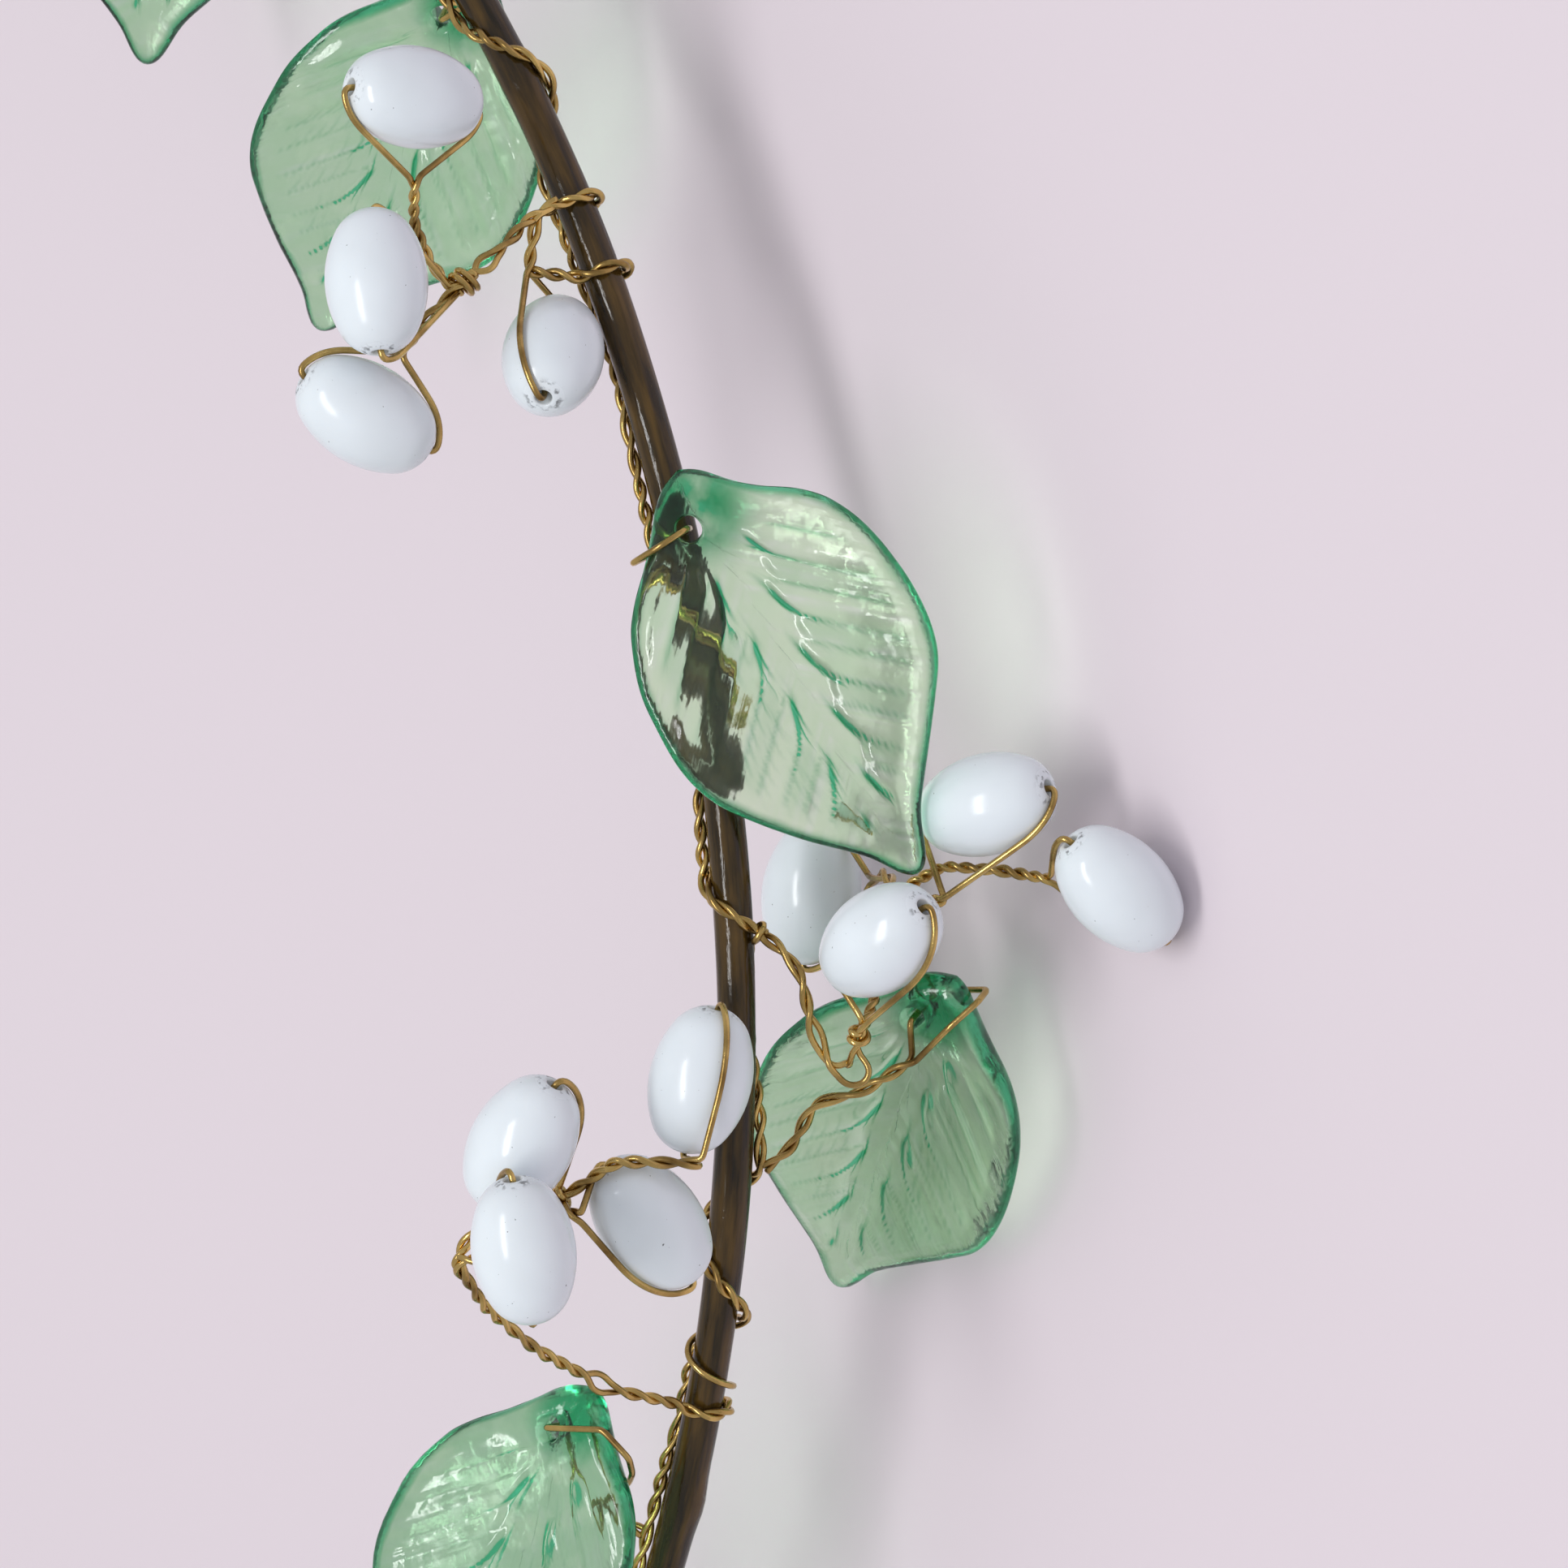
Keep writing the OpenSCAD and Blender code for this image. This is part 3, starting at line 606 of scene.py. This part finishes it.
bead = {
    "diameter": 6, "length": 8.8, "bore": 1.0,
    "lip": 0.13,  # rounding at the hole
    "waistPart": 0.34,  # half the length of the waist's arc, as a part of the length
    "around": 48, "waistPoints": 9, "endPoints": 11, "lipPoints": 4, "ovalPoints": 9,
    "wornRadius": 0.9, "wornWidth": 0.2,  # worn ring round the hole
    "wornFrom": 2,  # from the bead's middle
    # how far inside the oval's end, and off the hole's middle, the loop runs as it goes in
    "entry": np.array([[0.01, 0.4], [0.14, 0.1], [0.6, 0]]),
    "entryTurn": 0.26, "leastTurn": 0.04,  # oval's angle where the loop leaves it, least turn
    "knotOut": 1.001,  # least distance of a knot, in ovals
}


# Unit vector at an azimuth and elevation in degrees
def along(azimuth, elevation):
    a, e = np.radians(azimuth), np.radians(elevation)
    return np.array([np.cos(e) * np.cos(a), np.cos(e) * np.sin(a), np.sin(e)])


# Half a loop in the plane (along the hole, across): straight from the knot until it touches the oval round the bead,
# along the oval, and in at the hole
def legRoute(x, y, end):
    a, b = bead["length"] / 2 + wire["besideBead"], bead["diameter"] / 2 + wire["besideBead"]
    far = max(np.hypot(x / a, y / b), bead["knotOut"])
    touch = np.arctan2(y / b, end * x / a) - np.arccos(1 / far)
    turn = np.linspace(max(touch, bead["entryTurn"] + bead["leastTurn"]), bead["entryTurn"], bead["ovalPoints"])
    oval = np.stack([a * np.cos(turn), b * np.sin(turn)], 1)
    inward, off = bead["entry"].T
    return np.vstack([oval, np.stack([a - inward, off], 1)]) * [end, 1]


# Loop of a bead: one leg, through the bead and back along the other
def loopRoute(row):
    middle, hole = np.array(row[0], float), along(row[1], row[2])
    knot = np.array(row[3], float) - middle
    x = knot @ hole
    across = knot - x * hole
    y = np.linalg.norm(across)
    flat = np.vstack([legRoute(x, y, 1), legRoute(x, y, -1)[::-1]])
    return middle + flat[:, :1] * hole + flat[:, 1:] * across / y


# Places beside the stem at a root as an eased line in the ring
def lineAt(theta, hand, places):
    return eased(spot(theta, handed(places, hand)), wire["gap"], wire["round"])


# A direction beside the stem as one in the ring: its end less its start, divided by its length
def directionAt(theta, hand, direction):
    ends = spot(theta, handed([[0, 0, 0], direction], hand))
    return unit(ends[1] - ends[0])


# Sprig wire: each stalk is its hook, a helix round the stem, and its route in one line, with its loop and coils
def makeSprigWire(theta, kind, hand):
    parts = []
    for stalk in kind["stalks"]:
        start, end, first, last = stalk.get("hook", [0, 0, 0, 0])
        count = wire["hookPoints"] if "hook" in stalk else 0
        hook = besideStem(np.linspace(start, end, count), np.linspace(first, last, count))
        line = lineAt(theta, hand, np.vstack([hook, stalk["route"]]))
        length = lengthGone(line)[-1]
        eyes = [(length - place, reach, opening, towards and directionAt(theta, hand, towards))
                for place, reach, opening, towards in stalk.get("eyes", [])]
        loop = spot(theta, handed(loopRoute(kind["beads"][stalk["bead"]]), hand)) if "bead" in stalk else None
        parts += [wireTube(line)] if "single" in stalk else strung(line, loop, stalk.get("pitch"), eyes)
        parts += [coilRound(line, length - place, turns, wide) for place, turns, wide in stalk.get("coils", [])]
    return parts


for i, (theta, kind, hand) in enumerate(sprigs):
    node = f"sprig_wire_{i + 1}"
    putPiece(node + "_twist", makeSprigWire(theta, sprigKinds[kind], hand), finishes["wire"], "brass_wire", node)
print("sprig wires made")


# Bead outline, hole to hole and back through: a wide arc round the waist, a close arc over each end and a rounding at
# the hole
def beadOutline():
    top, half = bead["length"] / 2, bead["diameter"] / 2
    waist = bead["length"] ** 2 / (2 * bead["diameter"])
    cut = bead["waistPart"] * bead["length"]
    cutRadius = half - waist + np.sqrt(waist ** 2 - cut ** 2)
    middle = (top ** 2 - cut ** 2 - cutRadius ** 2) / (2 * (top - cut))
    endRadius = top - middle
    z = cut * np.sin(np.linspace(0, np.pi / 2, bead["waistPoints"]))[:-1]
    low = np.stack([half - waist + np.sqrt(waist ** 2 - z ** 2), z], 1)
    bore, lip = bead["bore"] / 2, bead["lip"]
    first, last = np.arctan2(cutRadius, cut - middle), np.arcsin((bore + lip) / endRadius)
    turn = np.linspace(first, last, bead["endPoints"])
    high = np.stack([endRadius * np.sin(turn), middle + endRadius * np.cos(turn)], 1)
    rim = high[-1] - [0, lip]
    arc = np.linspace(np.pi / 2, np.pi, bead["lipPoints"])[1:]
    corner = rim + lip * np.stack([np.cos(arc), np.sin(arc)], 1)
    upper = np.vstack([low, high, corner])
    lower = upper[:0:-1] * [1, -1]
    return np.vstack([lower, upper, [[bore, top / 2], [bore, -top / 2]]])


# Bead: the outline turned round the hole's line. The pattern's first value is wear, a bell curve about a ring round
# each hole
def makeBead(theta, row, hand):
    outline = beadOutline()
    turn = 2 * np.pi * np.arange(bead["around"]) / bead["around"]
    radius, z = outline[:, :1], outline[:, 1:]
    hole = handed(along(row[1], row[2]), hand)
    side = unit(np.cross([0, 0, 1.0], hole))
    over = np.cross(hole, side)
    places = (radius * np.cos(turn))[..., None] * side + (radius * np.sin(turn))[..., None] * over
    places = places + (z + 0 * turn)[..., None] * hole + handed(row[0], hand)
    nearEnd = np.abs(z) > bead["wornFrom"]
    worn = bell(radius - bead["wornRadius"], bead["wornWidth"]) * nearEnd + 0 * turn
    pattern = np.stack([worn, 0 * worn, 0 * worn], -1).reshape(-1, 3)
    return spot(theta, places.reshape(-1, 3)), ringFaces(len(outline), bead["around"], True), noTriangles, pattern


for i, (theta, kind, hand) in enumerate(sprigs):
    for j, row in enumerate(sprigKinds[kind]["beads"]):
        node = f"bead_{4 * i + j + 1}"
        putPiece(node + "_glass", [makeBead(theta, row, hand)], finishes["bead"], "white_glass", node)
print("beads made")

# Leaves: ring angle, kind, 1 or -1 for the hand
leaves = [[360, "r", -1], [335, "q", 1], [316, "p", 1], [296, "p", 1], [275, "q", 1],
          [251, "t", 1], [236, "s", 1], [212, "q", -1], [190, "r", 1], [176, "p", -1]]

# The hole, azimuth, elevation and roll of the tip, least share of emerald (raised on some kinds as painted shade that
# darkens those leaves), stalk of twisted pair beside the stem, and loop of single wire through the hole in the leaf's
# own frame
leafKinds = {
    "p": {"hole": [-5, 3.5, -2.7], "turned": [-160, 0, -40], "tint": 0.35,
          "stalk": [[-1.5, 3, 1.1], [-2.1, 2.3, -0.3], [-2, 1.5, -1.7]],
          "loop": [[-2.6, 1.6, 2.2], [0, 0, 1.8], [0, 0, -1.8], [-3.9, 1.4, -0.9]]},
    "q": {"hole": [2.95, -0.85, 1.95], "turned": [-78, -17, -40], "tint": 0,
          "stalk": [[-1.3, -1.5, 1.38]],
          "loop": [[-0.1, -3.9, 0.7], [0, -1.8, 1.9], [0, 0, 1.5], [0, 0, -1.75], [-0.1, -1.2, -1.9],
                   [-0.2, -2.2, -2.35]]},
    "r": {"hole": [6.5, 10, -8.4], "turned": [-119, -13, -50], "tint": 0.2,
          "stalk": [[1.32, 0.4, -1.36], [1.9, 1.6, -2.9], [2.2, 4.2, -4.3], [4.7, 5.4, -5.8], [6.5, 7, -7.5]],
          "loop": [[0.8, 3.6, 2.4], [-0.6, 5.3, 0.7], [-0.8, 3.8, -1.7], [0, 0, -1.8], [0, 0, 1.7]]},
    "t": {"hole": [6.4, 10.5, -8.6], "turned": [-116, -11, -25], "tint": 0.25,
          "stalk": [[1.32, 0.4, -1.36], [1.9, 1.6, -2.9], [2.2, 4.2, -4.3], [4.7, 5.3, -5.6], [6.9, 7.5, -7.6]],
          "loop": [[-1.2, 2.4, 2.1], [-3, 3.3, 0.8], [-2.7, 3.2, -0.9], [-0.8, 1.2, -1.8], [0, 0, -1.75],
                   [0, 0, 1.75]]},
    "s": {"hole": [-6.4, 5.9, 5.3], "turned": [-87, 11, -11], "tint": 0.5,
          "stalk": [[-1.3, 0.5, 1.3], [-2.4, 0.8, 2], [-3.6, 1.3, 2.9]],
          "loop": [[1.4, 5.1, -1.1], [0.3, 5.8, 0.2], [-0.8, 5.8, 1.3], [-1.8, 3.8, 2], [0, 0, 1.75], [0, 0, -1.75]]},
}

leaf = {
    "length": 27.7, "width": 17.2, "thickness": 1.5, "hole": 1.5,
    "knob": 1.1, "knobReach": 2.4,  # added thickness round the hole
    "cup": 1.9, "cupPower": 1.7,  # how far the rim stands in front of the midrib
    "bow": 1.2, "bowFrom": 5, "bowOver": 19.5,  # how far the tip hangs back
    "edge": 1.1,  # width over which the rim is rounded
    "ribPair": 4.2, "broad": 0.58,  # two ribs along the midrib, and the broad one's part
    "ribLean": 0.95,  # how far a rib runs towards the tip for each unit outward
    "ribHeight": 0.42, "narrowHeight": 0.75,  # narrow as a part of broad
    "ribPower": 0.7,  # smaller is flatter on top
    "phases": (0.15, 0.6),  # of the ribs on either side of the midrib
    "broadStart": 1.7,  # how much further out a broad rib begins at its far side
    "narrowStart": (0.4, 0.5),  # a narrow one begins this much further out, and its sides this much more
    "midrib": (0.45, 0.9, 24),  # half its width at the tip, what the hole's end adds, and where that has gone
    "midribHeight": 0.35,
    # where ribs, midrib and all relief begin to rise, and over what length
    "ribEnds": {"inner": (0, 0.45), "rim": (0.7, 0.9), "hole": (1.4, 1.6)},
    "midribEnds": {"rim": (0, 3), "hole": (2, 3)}, "reliefEnd": (0, 0.5),
    "soften": 3,  # times that the ribs are smoothed
    "rimPoints": 200, "rimRound": 1.5,
    "front": 100, "back": 16,  # rings of points
    "crowding": (1.6, 1.3),  # of rings towards the rim, back and front
}

# Emerald gathers in bell curves, each with a width and a share: the arc where a broad rib begins, the line along its
# far side, and painted shade in the valleys between all ribs
leafGreen = {
    "arc": 0.26, "arcShare": 1.7, "arcRise": (0, 0.5),
    "line": 0.28, "lineShare": 1.5, "lineReach": 1.3,
    # Painted shade: darker emerald along the valleys between the ribs
    "valleyShade": 0.22, "valleyShadeShare": 0.6,  # this width as a part of half a rib
    "narrowShare": 0.15,  # all over the narrow ribs
    "blade": {"rim": (1.2, 0.8), "hole": (1.5, 1.5)},  # where from, and over what length, all this sets in
    "knobAt": (-1, 1), "knobReach": 3.4,
    "rim": 0.62,
}

# Distance from the hole as a part of the length, half width and sideways shift as parts of half the width
leafOutline = np.array([
    [-0.115, 0, 0.16], [-0.106, 0.1, 0.14], [-0.094, 0.17, 0.12], [-0.054, 0.27, 0.1], [-0.005, 0.41, 0.1],
    [0.024, 0.52, 0.11], [0.054, 0.65, 0.12], [0.108, 0.81, 0.11], [0.177, 0.91, 0.1], [0.238, 0.97, 0.08],
    [0.332, 1, 0.07], [0.415, 1, 0.05], [0.487, 0.95, 0.04], [0.527, 0.89, 0.03], [0.61, 0.69, 0],
    [0.686, 0.49, -0.02], [0.765, 0.26, -0.02], [0.798, 0.19, 0], [0.848, 0.12, 0], [0.874, 0.06, 0], [0.885, 0, 0]])


# Rim of the leaf from the knob: middle line less half the width out to the tip, and plus it back, eased
def leafRim():
    x, half, middle = leafOutline[:, 0] * leaf["length"], leafOutline[:, 1], leafOutline[:, 2]
    side = leaf["width"] / 2
    rim = np.vstack([np.stack([x, side * (middle - half)], 1), np.stack([x, side * (middle + half)], 1)[-2::-1]])
    rim = np.hstack([rim, np.zeros((len(rim), 1))])
    return eased(rim, lengthGone(rim)[-1] / leaf["rimPoints"], leaf["rimRound"])[:-1, :2]


# Distance from each point to a closed outline taken at close steps: the root of the least sum of squares, over a part
# of the outline at a time
def distanceTo(outline, points, gap=0.07, parts=40):
    close, spots = evenly(np.vstack([outline, outline[:1]]), gap), points.reshape(-1, 2)
    least = np.min([((spots - close[k::parts, None]) ** 2).sum(-1).min(0) for k in range(parts)], axis=0)
    return np.sqrt(least).reshape(points.shape[:-1])


# A value's smooth step from 0 at a start to 1 over a length
def risen(value, start, over):
    return smoothStep((value - start) / over)


# Each value made the mean of itself, counted twice, and its neighbours, around and then along
def softened(grid, times):
    for again in range(times):
        grid = (np.roll(grid, 1, 1) + 2 * grid + np.roll(grid, -1, 1)) / 4
        grid = np.vstack([grid[:1], (grid[:-2] + 2 * grid[1:-1] + grid[2:]) / 4, grid[-1:]])
    return grid


# Leaf in its own frame, x from the hole to the tip and z to the front: rings from the rim to the hole. Its middle is
# the cup less the bow, its half thickness falls to nothing at the rim as an ellipse, and the front adds the ribs. The
# phase counts pairs of a broad and a narrow half-round rib. A broad one begins on a quarter of an ellipse.
def makeLeafShape():
    rim = leafRim()
    turn = np.arctan2(rim[:, 1], rim[:, 0])
    hole = leaf["hole"] / 2 * np.stack([np.cos(turn), np.sin(turn)], 1)
    front = (np.arange(leaf["front"]) + 1) / leaf["front"]
    back = np.arange(leaf["back"]) / leaf["back"]
    backPower, frontPower = leaf["crowding"]
    share = np.hstack([1 - (1 - back) ** backPower, 1 - (1 - front[::-1]) ** frontPower])
    flat = hole + share[:, None, None] * (rim - hole)
    x, y = flat[..., 0], flat[..., 1]
    middle = np.interp(x / leaf["length"], leafOutline[:, 0], leafOutline[:, 2]) * leaf["width"] / 2
    offMid = np.abs(y - middle)
    toRim = np.where(share[:, None] >= 1, 0, distanceTo(rim, flat))
    bow = leaf["bow"] * (np.maximum(0, x - leaf["bowFrom"]) / leaf["bowOver"]) ** 2
    centre = leaf["cup"] * (2 * offMid / leaf["width"]) ** leaf["cupPower"] - bow
    full = leaf["thickness"] + leaf["knob"] * bell(x, leaf["knobReach"])
    half = full / 2 * np.sqrt(1 - (1 - np.clip(toRim / leaf["edge"], 0, 1)) ** 2)
    phase = (x - leaf["ribLean"] * offMid) / leaf["ribPair"] + np.where(y > middle, *leaf["phases"])
    part = np.mod(phase, 1)
    broad = part < leaf["broad"]
    across = np.where(broad, part / leaf["broad"], (part - leaf["broad"]) / (1 - leaf["broad"]))
    loaf = np.sqrt(1 - (2 * across - 1) ** 2)
    atTip, more, gone = leaf["midrib"]
    midrib = atTip + more * np.clip(1 - x / gone, 0, 1)
    further, rounded = leaf["narrowStart"]
    inner = offMid - midrib - np.where(broad, leaf["broadStart"] * (1 - np.sqrt(1 - across ** 2)),
                                       further + rounded * (1 - loaf))
    ends = leaf["ribEnds"]
    within = risen(inner, *ends["inner"]) * risen(toRim, *ends["rim"]) * risen(x, *ends["hole"])
    ends = leaf["midribEnds"]
    ridge = bell(offMid, midrib) * risen(x, *ends["hole"]) * risen(toRim, *ends["rim"])
    ribs = softened(within * np.where(broad, 1, leaf["narrowHeight"]) * loaf ** leaf["ribPower"], leaf["soften"])
    relief = leaf["ribHeight"] * (ribs + leaf["midribHeight"] * ridge)
    isFront = (np.arange(len(share)) >= leaf["back"])[:, None]
    z = centre + np.where(isFront, half + relief * risen(toRim, *leaf["reliefEnd"]), -half)
    return np.stack([x, y, z], -1), leafTints(x, y, toRim, inner, across, broad, within, phase)


# Pattern (green, rim, phase): bell curves about the arcs, lines, valleys (painted shade), knob and rim, each times its
# share
def leafTints(x, y, toRim, inner, across, broad, within, phase):
    tint = leafGreen
    outward = np.exp(-np.maximum(inner, 0) / tint["lineReach"])
    arc = bell(inner, tint["arc"]) * risen(across, *tint["arcRise"]) * broad
    toLine = (1 - across) * leaf["broad"] * leaf["ribPair"]
    line = bell(toLine, tint["line"]) * outward * broad * (inner > 0)
    # Painted shade in the valleys between the ribs
    valleyShade = bell(np.minimum(across, 1 - across) * 2, tint["valleyShade"]) * within
    blade = risen(toRim, *tint["blade"]["rim"]) * risen(x, *tint["blade"]["hole"])
    knobX, knobY = tint["knobAt"]
    knob = bell(np.hypot(x - knobX, y - knobY), tint["knobReach"], 4)
    gathered = np.max([tint["arcShare"] * arc, tint["lineShare"] * line, tint["valleyShadeShare"] * valleyShade,
                       tint["narrowShare"] * within * ~broad], axis=0)
    return np.stack([np.maximum(blade * gathered, knob), bell(toRim, tint["rim"], 4), phase], -1)


# Places on a leaf turned by roll, elevation and azimuth and moved to its hole beside the stem
def leafSpot(kind, places):
    azimuth, elevation, roll = kind["turned"]
    tip, a, roll = along(azimuth, elevation), np.radians(azimuth), np.radians(roll)
    level = np.array([-np.sin(a), np.cos(a), 0])
    up = np.cross(tip, level)
    axes = np.stack([tip, np.cos(roll) * level + np.sin(roll) * up, np.cos(roll) * up - np.sin(roll) * level])
    return np.array(kind["hole"], float) + np.asarray(places, float) @ axes


leafShape, leafPattern = makeLeafShape()
for i, (theta, kind, hand) in enumerate(leaves):
    node = f"leaf_{i + 1}"
    points = spot(theta, handed(leafSpot(leafKinds[kind], leafShape.reshape(-1, 3)), hand))
    faces = ringFaces(*leafShape.shape[:2], True)[:, ::hand]  # turned round when mirrored
    # Each kind's least share of emerald is painted shade that makes some leaves darker green
    pattern = np.maximum(leafPattern.reshape(-1, 3), [leafKinds[kind]["tint"], 0, -np.inf])
    putPiece(node + "_glass", [(points, faces, noTriangles, pattern)], finishes["leaf"], "green_glass", node)
print("leaves made")


# Vine wire: the winding, and for each leaf its stalk and the loop through its hole
def makeVine():
    parts = makeWinding()
    for theta, name, hand in leaves:
        kind = leafKinds[name]
        stalk = np.array(kind["stalk"], float)
        loop = leafSpot(kind, kind["loop"])
        if len(stalk) > 1:
            parts += strung(lineAt(theta, hand, stalk), spot(theta, handed(loop, hand)), wire["leafPitch"])
        else:
            closed = np.vstack([stalk, loop, stalk])
            parts.append(wireTube(eased(spot(theta, handed(closed, hand)), wire["gap"], 2 * wire["loopRound"])))
    return parts


putPiece("vine_wire_twist", makeVine(), finishes["wire"], "brass_wire", "vine_wire")
print("vine wire made")

camera = {
    "elevation": 44,  # degrees above the level of the ring
    "roll": -0.171,  # radians about the line of sight
    "distance": 480, "frameWidth": 92,  # what the frame shows at that distance
    "sensor": 36,
    "photo": 1932, "pixelsPerMm": 21,  # pixels across
    "stemPoint": (894.45, 793.9),  # where ring angle 270 shows in the photograph
}


# Camera: right and up come from the elevation and are turned by the roll, and it aims at the front of the ring, moved
# by that point's pixels from the picture's middle
def makeCamera():
    e, roll = np.radians(camera["elevation"]), camera["roll"]
    outward, upward = np.array([0, -1.0, 0]), np.array([0, 0, 1.0])
    right0, up0 = np.sin(e) * outward - np.cos(e) * upward, np.array([1.0, 0, 0])
    back = np.cos(e) * outward + np.sin(e) * upward
    right, up = np.cos(roll) * right0 + np.sin(roll) * up0, -np.sin(roll) * right0 + np.cos(roll) * up0
    middle = camera["photo"] / 2
    aim = ring["radius"] * outward + ((middle - camera["stemPoint"][0]) * right0
                                      + (camera["stemPoint"][1] - middle) * up0) / camera["pixelsPerMm"]
    place = (aim + camera["distance"] * back + [0, 0, ring["height"]]) / perMetre
    data = bpy.data.cameras.new("camera")
    data.sensor_width = camera["sensor"]
    data.lens = camera["sensor"] * camera["distance"] / camera["frameWidth"]
    view = newObject("camera", data)
    view.matrix_world = Matrix(np.vstack([np.stack([right, up, back, place], 1), [0, 0, 0, 1]]).tolist())
    bpy.context.scene.camera = view


makeCamera()

# Places and sizes in metres, powers in watts
studio = {
    "floor": (0.738, 0.664, 0.716, 1), "floorHalf": 3.0,
    "surround": (0.92, 0.91, 0.94, 1), "surroundPower": 0.56,
    "wide": 3.8, "wideSize": 1.8, "widePlace": (0.0, 0.1, 1.1),  # overhead, and seen in no gloss
    "strip": 3.9, "stripSize": 0.7, "stripAcross": 0.15, "stripPlace": (0.0, -0.19, 1.0),  # gives the highlights
}


# A flat light facing down: power, size and place as the studio names them
def addLight(name, shape, glossy):
    data = bpy.data.lights.new(name, "AREA")
    data.shape, data.energy, data.size = shape, studio[name], studio[name + "Size"]
    data.size_y = studio.get(name + "Across", data.size)
    light = newObject(name, data)
    light.location = studio[name + "Place"]
    light.visible_glossy = glossy


# Studio: a square floor just under the lowest rim of glass, an even surround, and two lights
def makeStudio():
    lowest, half = min(0.0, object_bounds()[0][2]), studio["floorHalf"]
    mesh = bpy.data.meshes.new("floor")
    mesh.from_pydata([[-half, -half, lowest], [half, -half, lowest], [half, half, lowest], [-half, half, lowest]],
                     [], [[0, 1, 2, 3]])
    floor = newObject("floor", mesh)
    mesh.materials.append(newFinish("paleFloor", Base_Color=studio["floor"], Roughness=0.9, Specular_IOR_Level=0.1)[0])
    world = bpy.context.scene.world or bpy.data.worlds.new("surround")
    bpy.context.scene.world = world
    world.use_nodes = True
    surround = world.node_tree.nodes["Background"]
    surround.inputs[0].default_value = studio["surround"]
    surround.inputs[1].default_value = studio["surroundPower"]
    addLight("wide", "SQUARE", False)
    addLight("strip", "RECTANGLE", True)
    bpy.context.scene.view_settings.view_transform = "Standard"


makeStudio()
print("camera and studio made")
